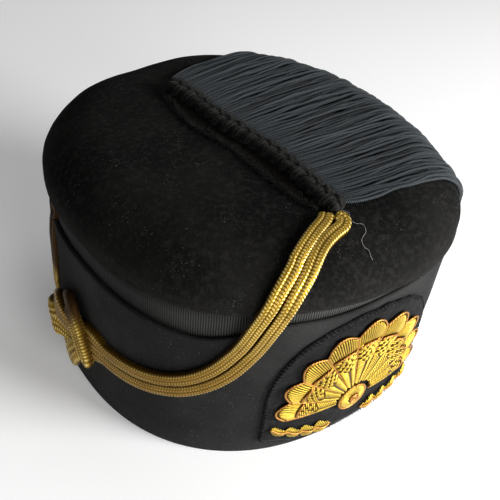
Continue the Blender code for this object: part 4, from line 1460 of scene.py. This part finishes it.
    def build_spray(self, side: int, name: str) -> None:
        """Leaf spray of slanted wires on a couched stem."""
        root, tip = self.spray_reach
        step = self.wire_pitch * self.spray_pitch / (tip - root)
        along = np.arange(*self.spray_spans, step)[:, None]
        middle, half = self.spray_height_at(along)
        across = side * mix(root, tip, along)
        way = np.array([-1, 1])
        starts = as_points(across, middle + way * self.spray_gap)
        ends = as_points(across + side * half * self.spray_slant, middle + way * half)
        starts, ends = starts.reshape(-1, 2), ends.reshape(-1, 2)
        BULLION_GILT.dress(self.lay_wires(f"{name}_wires", starts, ends, self.spray_padding), name)
        along = np.linspace(-0.03, 1.03, 60)
        across = side * mix(root, tip, along)
        stem = as_points(across, self.spray_height_at(np.clip(along, 0.0, 1.0))[0])
        COUCHING_GILT.dress(self.lay_outline(f"{name}_stem", [stem], self.spray_padding))

    def build_edge_stitches(self) -> None:
        """Dark whip stitches over the patch's cut edge."""
        generator = np.random.default_rng(self.stitch_seed)
        limit = QUARTER_TURN * self.stitched_share
        side = np.sin(np.linspace(-limit, limit, 60))
        low, high = self.patch_edge(side)
        across = side * (self.fan_side + self.margin)
        upper, lower = as_points(across, high), as_points(across, low)
        spots = respaced(np.concatenate([upper, lower[::-1], upper[:1]]), (), self.stitches)[0]
        inward = unit(np.array([0.0, self.stitch_centre]) - spots)
        slant = as_points(-inward[:, 1], inward[:, 0])
        lean = generator.uniform(*self.stitch_lean, (self.stitches, 1))
        reach = generator.uniform(*self.stitch_reach, (self.stitches, 1))
        scatter = generator.normal(0.0, self.stitch_shift, spots.shape)
        starts = spots - inward * self.stitch_overhang + scatter
        ends = spots + inward * reach + slant * lean * reach
        rows, columns = 6, 5
        share = shares(rows)[None, :, None]
        place = mix(starts[:, None], ends[:, None], share)
        hump = np.sin(share[..., 0] * math.pi * self.stitch_arch) ** 0.6
        centres = self.on_cuff(place, self.gap + (self.patch_thickness + self.gap) * hump)
        section = tube_section(columns, self.stitch_radius, end_taper(rows, self.stitch_length, 0.0004))
        values = {"shade": generator.uniform(0.0, 1.0, (self.stitches, 1, 1)) ** 3}
        normals = self.outward(place)
        piece = swept("patch_stitches", centres, normals, section, self.stitch_length, values)
        DARK_THREAD.dress(piece)

    def build(self) -> None:
        """Model the whole badge."""
        self.build_patch()
        self.build_edge_stitches()
        self.build_fan()
        self.build_boss()
        self.build_spray(-1, "badge_spray_right")
        self.build_spray(1, "badge_spray_left")


# Gold braid

class Pair(Enum):
    """The two doubled cords that meet in the knot."""

    FRONT = "gold_cord_front"
    REAR = "gold_cord_rear"


@dataclass(frozen=True)
class GoldCord:
    """Doubled flat braid of gilt thread: two ridges with a groove between them, laid in chevrons."""

    form: HatForm
    pair: Pair
    route: Route  # azimuth in degrees and climb, ending at the knot
    tops: tuple[Route, ...] = ((), ())
    width: float = 0.0063
    thickness: float = 0.004
    lift: float = 0.0001
    leg_sink: float = 0.0  # how far the legs are pressed into what carries them
    spacing: float = 0.0061
    knot_azimuth: float = math.radians(-91)
    knot_climb: float = 0.0355
    knot_tilt: float = math.radians(-18)
    knot_slant: float = 0.2
    knot_layer: float = 0.0021
    knot_half: tuple[tuple[float, float, float], ...] = (
        (-0.015, 0.003, -1.0), (-0.0085, 0.0036, -0.6), (-0.0015, 0.008, 0.8),
        (0.004, 0.0122, 0.6), (0.0084, 0.0122, -0.3), (0.0102, 0.0066, -0.6),
        (0.0106, 0.0000, -0.6),
    )  # rearward, upward and layer from the knot's centre
    knot_shift: Span = (0.0, 0.0)  # rearward and upward, of this pair's bend
    knot_reach: Span = (0.019, 0.028)
    knot_girth: Span = (1.9, 1.3)  # widening and thickening of the cord in the knot
    top_widening: float = 1.1
    top_climbs: Span = (0.085, 0.112)
    row_spacing: float = 0.00019
    columns: int = 32
    stitch: float = 0.0014
    stitch_depth: float = 0.00036
    chevron: float = 0.55  # lay gained from a ridge's crest to its foot, in stitches
    side_power: float = 0.85
    rise_power: float = 0.75
    crest_shares: Span = (0.45, 0.55)  # of the half width
    plait_power: float = 1.1
    stitch_seat: float = 0.6  # share of their depth that is sunk
    crest_lows: Floats = (0.16, 0.06, 0.6)  # between stitches, between plaits, in the groove
    groove_width: float = 0.0006
    groove_depths: Span = (0.16, 0.36)
    groove_climbs: Span = (0.06, 0.1)
    # painted shade on the cord: where it comes in, where it gives way to the bright lower knot, and how
    # strong it is
    shade_climbs: Span = (0.095, 0.05)
    bright_climbs: Span = (0.022, 0.036)
    shade_share: float = 0.72
    shade_off_crest: float = 0.25  # share of the painted shade taken off the crests
    tuck: float = 0.0  # how far the legs' ends go in under the crown's edge
    tuck_climbs: Span = (0.062, 0.078)

    def leg(self, lower: bool) -> Array:
        """Azimuth, climb and lift of one leg of the pair."""
        route = np.array([(math.radians(azimuth), climb) for azimuth, climb in self.route])
        ahead = np.concatenate([route[1:], route[-1:]]) - np.concatenate([route[:1], route[:-1]])
        turn = ahead[:, 0] * self.form.crown[0]
        length = np.hypot(turn, ahead[:, 1])
        shift = self.spacing / 2 * (1 if lower == (self.pair is Pair.REAR) else -1)
        azimuth = route[:, 0] + shift * ahead[:, 1] / length / self.form.crown[0]
        climb = route[:, 1] - shift * turn / length
        top = np.array([(math.radians(azimuth), climb) for azimuth, climb in self.tops[int(lower)]])
        places = np.concatenate([top.reshape(-1, 2), as_points(azimuth, climb)])
        sink = self.leg_sink + self.tuck * smooth_step(*self.tuck_climbs, places[:, 1])
        return np.column_stack([places, self.lift + self.thickness / 2 - sink])

    def bend(self, lower: bool) -> Array:
        """Azimuth, climb and lift of half of the cord's bend in the knot."""
        rearward, upward, layer = np.array(self.knot_half).T
        upward = -upward if lower else upward
        if self.pair is Pair.REAR:
            rearward, layer = -rearward, -layer
        rearward = rearward + self.knot_slant * upward
        tilt_x, tilt_z = math.cos(self.knot_tilt), math.sin(self.knot_tilt)
        along = rearward * tilt_x - upward * tilt_z + self.knot_shift[0]
        above = rearward * tilt_z + upward * tilt_x + self.knot_shift[1]
        lift = self.lift + self.thickness / 2 + self.knot_layer * (1.0 + layer)
        azimuth = self.knot_azimuth - along / self.form.rim[0]
        return as_points(azimuth, self.knot_climb + above, lift)

    def centre_line(self) -> tuple[Array, Array, Array]:
        """Centre points, normals and climbs, down one leg, round the bend and back."""
        halves = [
            smooth_curve(np.concatenate([self.leg(lower), self.bend(lower)]), 10) for lower in (False, True)
        ]
        places = np.concatenate([halves[0], halves[1][-2::-1]])
        return *self.form.over_skin(places), places[:, 1:2]

    def girth(self, centres: Array, climb: Array) -> Array:
        """Widening and thickening of the cord in the knot, where it is bent, and at its top end."""
        knot = self.form.skin(self.knot_azimuth, self.knot_climb)
        near = 1.0 - smooth_step(*self.knot_reach, np.linalg.norm(centres - knot, axis=1))
        girth = mix(1.0, np.array(self.knot_girth), near[:, None])
        girth[:, :1] *= mix(1.0, self.top_widening, smooth_step(*self.top_climbs, climb))
        return girth

    def section(self, run: Array, girth: Array, climb: Array) -> tuple[Array, Values]:
        """Braided section along the cord.

        Args:
            run: Distance along the cord of each row.
            girth: Swelling at each row.
            climb: Climb of each row.

        Returns:
            Offsets (1, rows, columns + 1, 2), and point values for the finish.
        """
        turn = around(self.columns)[None, :]
        side, rise = np.cos(turn), np.sin(turn)
        share = signed_power(side, self.side_power)
        across = self.width / 2 * share * girth[:, :1]
        up = self.thickness / 2 * signed_power(rise, self.rise_power) * girth[:, 1:]
        groove = np.exp(-(across / self.groove_width) ** 2)
        up = up * (1.0 - mix(*self.groove_depths, smooth_step(*self.groove_climbs, climb)) * groove)
        foot = np.abs(np.abs(share) - 0.5) * 2.0
        outer = smooth_step(*self.crest_shares, np.abs(share))
        lay = run / self.stitch + foot * self.chevron + outer * 0.5
        stitch = np.sin(math.pi * lay) ** 2
        plait = np.abs(np.sin(FULL_TURN * share)) ** self.plait_power
        outward = unit(as_points(across - np.sign(across) * self.width / 4, up))
        raised = self.stitch_depth * (plait * (0.5 + 0.5 * stitch) - self.stitch_seat)
        offsets = as_points(across, up) + outward * raised[..., None]
        offsets = offsets * end_taper(len(run), run[-1, 0], self.thickness / 2)[:, None, None]
        stitch_low, plait_low, groove_low = self.crest_lows
        crest = mix(stitch_low, 1.0, stitch) * mix(plait_low, 1.0, plait) * mix(1.0, groove_low, groove)
        # painted shade: the cord is darkened where it lies in shadow, less on its crests
        shade = smooth_step(*self.shade_climbs, climb) * smooth_step(*self.bright_climbs, climb)
        cord_shade = self.shade_share * shade * (1.0 - self.shade_off_crest * crest)
        return offsets[None], {"crest": crest, "lay": lay, "cord_shade": cord_shade}

    def build(self) -> None:
        """Model the doubled cord."""
        centres, normals, climb = self.centre_line()
        length = float(distances(centres)[-1])
        rows = int(length / self.row_spacing)
        centres, normals, climb = respaced(centres, (normals, climb), rows)
        run = np.linspace(0.0, length, rows)[:, None]
        section, values = self.section(run, self.girth(centres, climb), climb)
        name = f"{self.pair.value}_braid"
        piece = swept(name, centres[None], normals[None], section, length, values)
        finish = BRAID_GILT if self.pair is Pair.FRONT else SHADED_BRAID_GILT
        finish.dress(piece, self.pair.value)
        LOG.info("%s is %.0f mm long", name, length / MILLIMETRE)


FRONT_ROUTE = (
    (-23.2, 0.1125), (-27.2, 0.1027), (-31.0, 0.088), (-35.0, 0.071), (-40.5, 0.057),
    (-48.0, 0.0464), (-57.0, 0.0401), (-67.0, 0.0374),
)
FRONT_TOPS = (
    ((-10.0, 0.1326), (-12.1, 0.1297), (-16.9, 0.1257), (-20.8, 0.1213), (-23.7, 0.1168)),
    ((-8.0, 0.1306), (-6.4, 0.128), (-8.0, 0.1254), (-11.7, 0.1236), (-15.2, 0.1212), (-18.2, 0.1176)),
)
REAR_ROUTE = (
    (-117.0, 0.086), (-116.0, 0.08), (-115.0, 0.074), (-114.0, 0.068), (-113.0, 0.061),
    (-112.5, 0.053), (-112.0, 0.044), (-112.0, 0.035), (-107.5, 0.0285),
)


# Fringe

@dataclass(frozen=True)
class Drape:
    """Skin under the fringe, read by share from front to back and share from head to hem."""

    points: Array
    normals: Array
    lengths: Array
    span: Span

    def at(self, across: Array, along: Array) -> tuple[Array, Array]:
        """Points and normals between the lines of the table."""
        lines, samples = self.points.shape[:2]
        first, last = self.span
        line = np.clip((across - first) / (last - first), 0.0, 1.0) * (lines - 1.001)
        sample = np.clip(along, 0.0, 1.0) * (samples - 1.001)
        low_line, low_sample = line.astype(int), sample.astype(int)
        line_share, sample_share = (line - low_line)[..., None], (sample - low_sample)[..., None]
        found = []
        for table in (self.points, self.normals):
            near = mix(table[low_line, low_sample], table[low_line, low_sample + 1], sample_share)
            far = mix(table[low_line + 1, low_sample], table[low_line + 1, low_sample + 1], sample_share)
            found.append(mix(near, far, line_share))
        return found[0], unit(found[1])


@dataclass(frozen=True)
class Strands:
    """One layer of the fringe's cords."""

    name: str
    finish: Yarn
    count: int
    span: Span  # shares from front to back
    lift: float
    columns: int
    row_spacing: float
    seed: int


@dataclass(frozen=True)
class Fuzz:
    """Short fibres standing out of yarns."""

    name: str
    count: int
    seed: int
    lengths: Span = (0.0007, 0.0022)
    radius: float = 0.00006
    curl: float = 0.8  # bend of a fibre's end, as a share of its length
    root: float = 0.85  # share of the yarn's radius where a fibre starts
    fan: Span = (-0.15 * math.pi, 1.15 * math.pi)  # turns round the yarn that carry fibres
    taper: Floats = (0.8, 1.0, 0.9, 0.7, 0.0)

    def build(self, lines: Array, normals: Array, radius: float) -> None:
        """Model the fibres.

        Args:
            lines: Centre lines of the yarns (yarns, rows, 3).
            normals: Normals below them.
            radius: Radius of the yarns.
        """
        generator = np.random.default_rng(self.seed)
        count = self.count
        line = generator.integers(0, lines.shape[0], count)
        row = generator.integers(2, lines.shape[1] - 2, count)
        forward = unit(lines[line, row + 1] - lines[line, row - 1])
        sideways = unit(np.cross(forward, normals[line, row]))
        upward = np.cross(sideways, forward)
        turn = generator.uniform(*self.fan, (count, 1))
        out = sideways * np.cos(turn) + upward * np.sin(turn)
        share = shares(len(self.taper))[None, :, None]
        length = generator.uniform(*self.lengths, (count, 1, 1))
        curl = unit(generator.normal(size=(count, 3)))[:, None] * length * self.curl
        root = (lines[line, row] + out * radius * self.root)[:, None]
        centres = root + out[:, None] * length * share + curl * share ** 2
        facing = unit(np.cross(out, generator.normal(size=(count, 3))))
        facing = np.broadcast_to(facing[:, None], centres.shape)
        section = tube_section(3, self.radius, np.array(self.taper))
        values = {"shade": generator.uniform(0.3, 1.0, (count, 1, 1))}
        mean = float(np.mean(self.lengths))
        PLAIT_YARN.dress(swept(self.name, centres, facing, section, mean, values))


@dataclass(frozen=True)
class Fringe:
    """Plaited head along the top, with twisted cords hanging from it over the wearer's left."""

    form: HatForm
    head_route: Route = (
        (-0.0044, -0.069), (-0.0062, -0.061), (-0.006, -0.046), (-0.0062, -0.026),
        (-0.0086, -0.007), (-0.0112, 0.011), (-0.0114, 0.031), (-0.0124, 0.043),
        (-0.0128, 0.051),
    )
    edge_route: Route = (
        (-0.0122, -0.064), (-0.0152, -0.054), (-0.017, -0.04), (-0.0176, -0.025),
        (-0.0184, -0.01), (-0.0206, 0.005), (-0.023, 0.015), (-0.0226, 0.027),
        (-0.0206, 0.039), (-0.019, 0.05),
    )
    strand_start: float = 0.0036  # from the head's straight middle line
    head_front: Span = (-0.005, -0.064)
    head_back: Span = (-0.0128, 0.057)
    front_azimuth: float = math.radians(45)
    back_azimuth: float = math.radians(140)
    bow: float = 0.004
    hem_climb: float = 0.0575
    drape_span: Span = (-0.03, 1.03)
    drape_grid: tuple[int, ...] = (107, 110, 80, 200)  # lines, rows on top and side, rows kept
    lift: float = 0.0001
    strand_radius: float = 0.0007
    locks: int = 21
    lock_pull: float = 0.2
    wander: float = 0.0086
    heave: float = 0.0005
    yarn_radius: float = 0.0024
    plait_half_width: float = 0.0024
    plait_rise: float = 0.0009
    plait_period: float = 0.0195
    edge_radius: float = 0.0007
    plait_row: float = 0.00045  # distance between two rows of a yarn
    edge_row: float = 0.0005
    plait_lay: Lay = Lay(0.006, 5, 0.09)
    edge_lay: Lay = Lay(0.004, 2, 0.12)
    plait_lumps: Lumps = Lumps(0.12, 0.006, 51)
    edge_lumps: Lumps = Lumps(0.28, 0.007, 52)
    tape_lumps: Lumps = Lumps(0.00015, 0.008, 53)
    tape_thickness: float = 0.0014
    tape_grid: tuple[int, int] = (120, 12)  # places along it and across it
    home_scatter: float = 0.0016
    lock_span: Span = (0.05, 0.6)  # shares of a strand over which it is drawn to its lock
    sways: Floats = (0.9, 2.1, 4.3, 7.7)  # swells along a strand
    sway_fade: float = 0.85
    loose_end: float = 0.22  # share of a strand where it has come loose
    shortest: float = 0.965
    strand_tip: float = 0.0006

    def drape(self) -> Drape:
        """Table of the skin under the strands."""
        count, top_rows, side_rows, rows = self.drape_grid
        across = np.linspace(*self.drape_span, count)[:, None]
        front, back = np.array(self.head_front), np.array(self.head_back)
        start = mix(front, back, across) + np.array([self.strand_start, 0.0])
        azimuth = mix(self.front_azimuth, self.back_azimuth, across)
        edge = self.form.pressed_plan(azimuth[:, 0], 0.0)
        share = 1.0 - (1.0 - np.arange(top_rows)[None, :] / top_rows) ** 2
        plan = mix(start[:, None], edge[:, None], share[..., None])
        bow = self.bow * (2.0 * across - 1.0) * np.sin(math.pi * np.sqrt(share))
        plan = plan + as_points(np.zeros_like(bow), bow)
        top, top_normals = self.form.skin_over(plan)
        climbs = np.linspace(self.form.widest, self.hem_climb, side_rows)[None, :]
        side, side_normals = self.form.skin(azimuth, climbs), self.form.skin_normal(azimuth, climbs)
        points, normals, lengths = [], [], []
        lines = np.concatenate([top, side], axis=1)
        for line, normal in zip(lines, np.concatenate([top_normals, side_normals], axis=1)):
            lengths.append(distances(line)[-1])
            line, normal = respaced(line, (normal,), rows)
            points.append(line)
            normals.append(unit(normal))
        return Drape(np.array(points), np.array(normals), np.array(lengths), self.drape_span)

    def build_strands(self, drape: Drape, layer: Strands) -> Piece:
        """Cords of one layer, each wandering a little and drawn towards its lock."""
        generator = np.random.default_rng(layer.seed)
        length = float(drape.lengths.mean())
        rows = int(length / layer.row_spacing)
        along = shares(rows)[None, :]
        home = mix(*layer.span, (np.arange(layer.count)[:, None] + 0.5) / layer.count)
        home = home + generator.normal(0.0, self.home_scatter, home.shape)
        lock = (np.floor(home * self.locks) + 0.5) / self.locks
        drawn = (lock - home) * self.lock_pull * smooth_step(*self.lock_span, along)
        sway = np.zeros((2, layer.count, rows))
        for swells in self.sways:
            phase = generator.uniform(0.0, FULL_TURN, (2, layer.count, 1))
            size = generator.uniform(0.3, 1.0, (2, layer.count, 1)) / swells ** self.sway_fade
            sway += size * np.sin(FULL_TURN * swells * along + phase)
        loose = smooth_step(0.0, self.loose_end, along)
        reach = generator.uniform(self.shortest, 1.0, (layer.count, 1))
        points, normals = drape.at(home + drawn + sway[0] * loose * self.wander, along * reach)
        lift = self.lift + layer.lift + self.heave * sway[1] * loose
        centres = points + normals * lift[..., None]
        taper = end_taper(rows, length, self.strand_tip)
        section = tube_section(layer.columns, self.strand_radius, taper)
        shade = generator.uniform(0.0, 1.0, (layer.count, 1, 1))
        return swept(layer.name, centres, normals, section, length, {"shade": shade})

    def head_line(self, route: Sequence[Span], spacing: float) -> tuple[Array, Array, float]:
        """Points, normals and length of a line laid on the crown."""
        plan = smooth_curve(np.array(route), 12)
        points, normals = self.form.skin_over(plan)
        length = float(distances(points)[-1])
        points, normals = respaced(points, (normals,), int(length / spacing))
        return points, unit(normals), length

    def plait_lines(self) -> tuple[Array, Array, float]:
        """Centre lines of the three yarns of the plait."""
        points, normals, length = self.head_line(self.head_route, self.plait_row)
        sideways = unit(np.cross(np.gradient(points, axis=0), normals))
        run = np.linspace(0.0, length, len(points))
        lines = []
        for yarn in range(3):
            phase = FULL_TURN * (run / self.plait_period + yarn / 3)
            across = self.plait_half_width * np.sin(phase)
            rise = self.lift + self.plait_rise + self.yarn_radius + self.plait_rise * np.sin(2 * phase)
            lines.append(points + sideways * across[:, None] + normals * rise[:, None])
        return np.array(lines), np.broadcast_to(normals, (3, *normals.shape)), length

    def build_plait(self) -> None:
        """Three soft yarns plaited along the head."""
        lines, normals, length = self.plait_lines()
        run = np.linspace(0.0, length, lines.shape[1])
        radius = self.yarn_radius * (1.0 + self.plait_lumps.along(run))
        taper = end_taper(len(run), length, self.yarn_radius)
        section = tube_section(20, radius, taper, run, self.plait_lay)
        piece = swept("fringe_plait", lines, normals, section, length, {"shade": 0.35})
        PLAIT_YARN.dress(piece, "fringe")
        Fuzz("plait_fuzz", 7200, 61).build(lines, normals, self.yarn_radius)

    def build_edge(self) -> None:
        """Fuzzy cord along the sewn tape's far edge."""
        points, normals, length = self.head_line(self.edge_route, self.edge_row)
        run = np.linspace(0.0, length, len(points))
        radius = self.edge_radius * (1.0 + self.edge_lumps.along(run))
        lines, normals = (points + normals * (self.lift + self.edge_radius))[None], normals[None]
        taper = end_taper(len(run), length, 0.0012)
        section = tube_section(10, radius, taper, run, self.edge_lay)
        PLAIT_YARN.dress(swept("tape_edge", lines, normals, section, length, {"shade": 0.25}))
        Fuzz("edge_fuzz", 2600, 62).build(lines, normals, self.edge_radius)

    def build_tape(self) -> None:
        """Sewn tape between the plait and the cord along its far edge."""
        count, columns = self.tape_grid
        far, near = (
            respaced(smooth_curve(np.array(route), 12), (), count)[0]
            for route in (self.edge_route, self.head_route)
        )
        share = shares(columns)[None, :, None]
        top, normal = self.form.skin_over(mix(far[:, None], near[:, None], share))
        upper = top + normal * (self.tape_thickness + self.tape_lumps.at(top))[..., None]
        lower = top + normal * self.lift
        laid = capped(np.concatenate([upper, lower[:, ::-1], upper[:, :1]], axis=1))
        TAPE_WOOL.dress(laid_copies("fringe_tape", laid[None]))

    def build(self) -> None:
        """Model the head and every strand."""
        self.build_plait()
        self.build_edge()
        self.build_tape()
        drape = self.drape()
        radius = self.strand_radius
        layers = (
            Strands("strands_under", UNDER_YARN, 70, (0.006, 0.994), radius, 5, 0.0016, 71),
            Strands("strands_front", STRAND_YARN, 46, (0.0, 0.5), radius * 2.4, 8, 0.0012, 72),
            Strands("strands_rear", STRAND_YARN, 46, (0.5, 1.0), radius * 2.4, 8, 0.0012, 73),
        )
        for layer in layers:
            layer.finish.dress(self.build_strands(drape, layer))


@dataclass(frozen=True)
class LooseThread:
    """Tail of sewing thread that lies on the felt."""

    form: HatForm
    name: str
    route: Route  # azimuth in degrees and climb
    radius: float
    lift: float = 0.0003

    def build(self) -> None:
        """Model the thread."""
        route = np.array([(math.radians(turn), climb, self.lift) for turn, climb in self.route])
        centres, normals = self.form.over_skin(smooth_curve(route, 10))
        length = float(distances(centres)[-1])
        taper = end_taper(len(centres), length, 0.0005)
        section = tube_section(5, self.radius, taper)
        values = {"shade": 0.6}
        PALE_THREAD.dress(swept(self.name, centres[None], normals[None], section, length, values))


THREAD_TAIL = (
    (-4.6, 0.1312), (-2.6, 0.133), (-1.2, 0.1312), (-2.9, 0.1282), (-2.2, 0.1258), (-0.4, 0.1244),
    (-1.1, 0.1214), (-3.8, 0.1191), (-4.4, 0.1163), (-3.6, 0.1142), (-3.8, 0.1117), (-3.7, 0.1099),
)
THREAD_KNOT = (
    (-4.4, 0.1326), (-3.6, 0.1334), (-3.0, 0.1324), (-3.7, 0.1316), (-4.3, 0.1325), (-3.5, 0.1331),
    (-3.2, 0.132),
)


# Studio

def way_towards(azimuth: float, elevation: float) -> Vector:
    """Direction from the hat at an azimuth and an elevation in radians."""
    level = math.cos(elevation)
    return Vector((math.sin(azimuth) * level, -math.cos(azimuth) * level, math.sin(elevation)))


def put_in_scene(name: str, data: bpy.types.ID) -> Piece:
    """New object in the scene."""
    holder = bpy.data.objects.new(name, data)
    bpy.context.scene.collection.objects.link(holder)
    return holder


@dataclass(frozen=True)
class Softbox:
    """Large soft lamp that faces the hat."""

    name: str
    azimuth: float  # degrees from the front towards +X
    elevation: float  # degrees
    distance: float
    size: float
    power: float


@dataclass(frozen=True)
class Studio:
    """Plain pale floor, soft lamps and the camera at the photograph's angle."""

    form: HatForm
    azimuth: float = math.radians(-38.193)
    elevation: float = math.radians(38.824)
    roll: float = math.radians(5.382)
    distance: float = 0.41285
    lens: float = 59.14
    sensor: float = 36.0
    aim: tuple[float, float, float] = (-0.00032, -0.00797, 0.04887)
    floor_size: float = 6.0
    floor_glow: float = 0.2  # keeps the floor near the photograph's white
    surround: float = 0.08
    lamps: tuple[Softbox, ...] = (
        Softbox("key", 32.0, 24.0, 1.1, 0.55, 18.0),
        Softbox("front", -8.0, 21.0, 1.1, 0.5, 5.0),
        Softbox("top", 110.0, 68.0, 1.1, 0.6, 1.8),
    )

    def build_floor(self) -> None:
        """Pale floor under the hat."""
        bpy.ops.mesh.primitive_plane_add(size=self.floor_size)
        floor = bpy.context.active_object
        floor.name = "floor"
        tree = ShaderTree("pale_floor")
        speckle = tree.noise(30.0, 2.0)
        colour = tree.blend(speckle * 0.2, (0.9, 0.9, 0.9), (0.87, 0.87, 0.87))
        floor.data.materials.append(tree.shade({
            "Base Color": colour, "Roughness": 0.85,
            "Emission Color": (1.0, 1.0, 1.0), "Emission Strength": self.floor_glow,
        }))

    def build_lamps(self) -> None:
        """Soft lamps and an even pale surround."""
        for lamp in self.lamps:
            light = bpy.data.lights.new(lamp.name, "AREA")
            light.shape = "DISK"
            light.size = lamp.size
            light.energy = lamp.power
            way = way_towards(math.radians(lamp.azimuth), math.radians(lamp.elevation))
            holder = put_in_scene(lamp.name, light)
            holder.location = way * lamp.distance
            holder.rotation_euler = way.to_track_quat("Z", "Y").to_euler()
        world = bpy.data.worlds.new("studio")
        world.use_nodes = True
        background = world.node_tree.nodes["Background"]
        background.inputs["Color"].default_value = (1.0, 1.0, 1.0, 1.0)
        background.inputs["Strength"].default_value = self.surround
        bpy.context.scene.world = world

    def build_camera(self) -> None:
        """Camera fitted to the photograph's view."""
        back = way_towards(self.azimuth, self.elevation)
        level = Vector((math.cos(self.azimuth), math.sin(self.azimuth), 0.0))
        upright = back.cross(level)
        right = level * math.cos(self.roll) + upright * math.sin(self.roll)
        up = upright * math.cos(self.roll) - level * math.sin(self.roll)
        camera = bpy.data.cameras.new("camera")
        camera.lens = self.lens
        camera.sensor_width = self.sensor
        camera.clip_start = 0.01
        holder = put_in_scene("camera", camera)
        target = Vector(self.aim) + Vector((*self.form.middle, 0.0))
        place = Matrix((right, up, back)).transposed().to_4x4()
        place.translation = target + back * self.distance
        holder.matrix_world = place
        bpy.context.scene.camera = holder
        bpy.context.scene.view_settings.view_transform = "Standard"

    def build(self) -> None:
        """Set up the floor, the light and the camera."""
        self.build_floor()
        self.build_lamps()
        self.build_camera()


def main() -> None:
    """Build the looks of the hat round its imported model."""
    logging.basicConfig(level=logging.INFO, format="%(message)s")
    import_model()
    form = HatForm.in_frame()
    Studio(form).build()
    Crown(form).build()
    Ribbon(form).build()
    Cuff(form).build()
    Badge(form).build()
    GoldCord(form, Pair.FRONT, FRONT_ROUTE, FRONT_TOPS, knot_shift=(-0.0015, -0.0035)).build()
    # painted shade: the rear pair is darkened all over above its knot, as it lies in shadow
    GoldCord(
        form, Pair.REAR, REAR_ROUTE, leg_sink=0.0026, tuck=0.0032, shade_climbs=(0.04, 0.048),
        shade_share=1.0, shade_off_crest=0.0,
    ).build()
    Fringe(form).build()
    LooseThread(form, "thread_tail", THREAD_TAIL, 0.0001).build()
    LooseThread(form, "thread_knot", THREAD_KNOT, 0.00022, 0.0005).build()


if __name__ == "__main__":
    main()
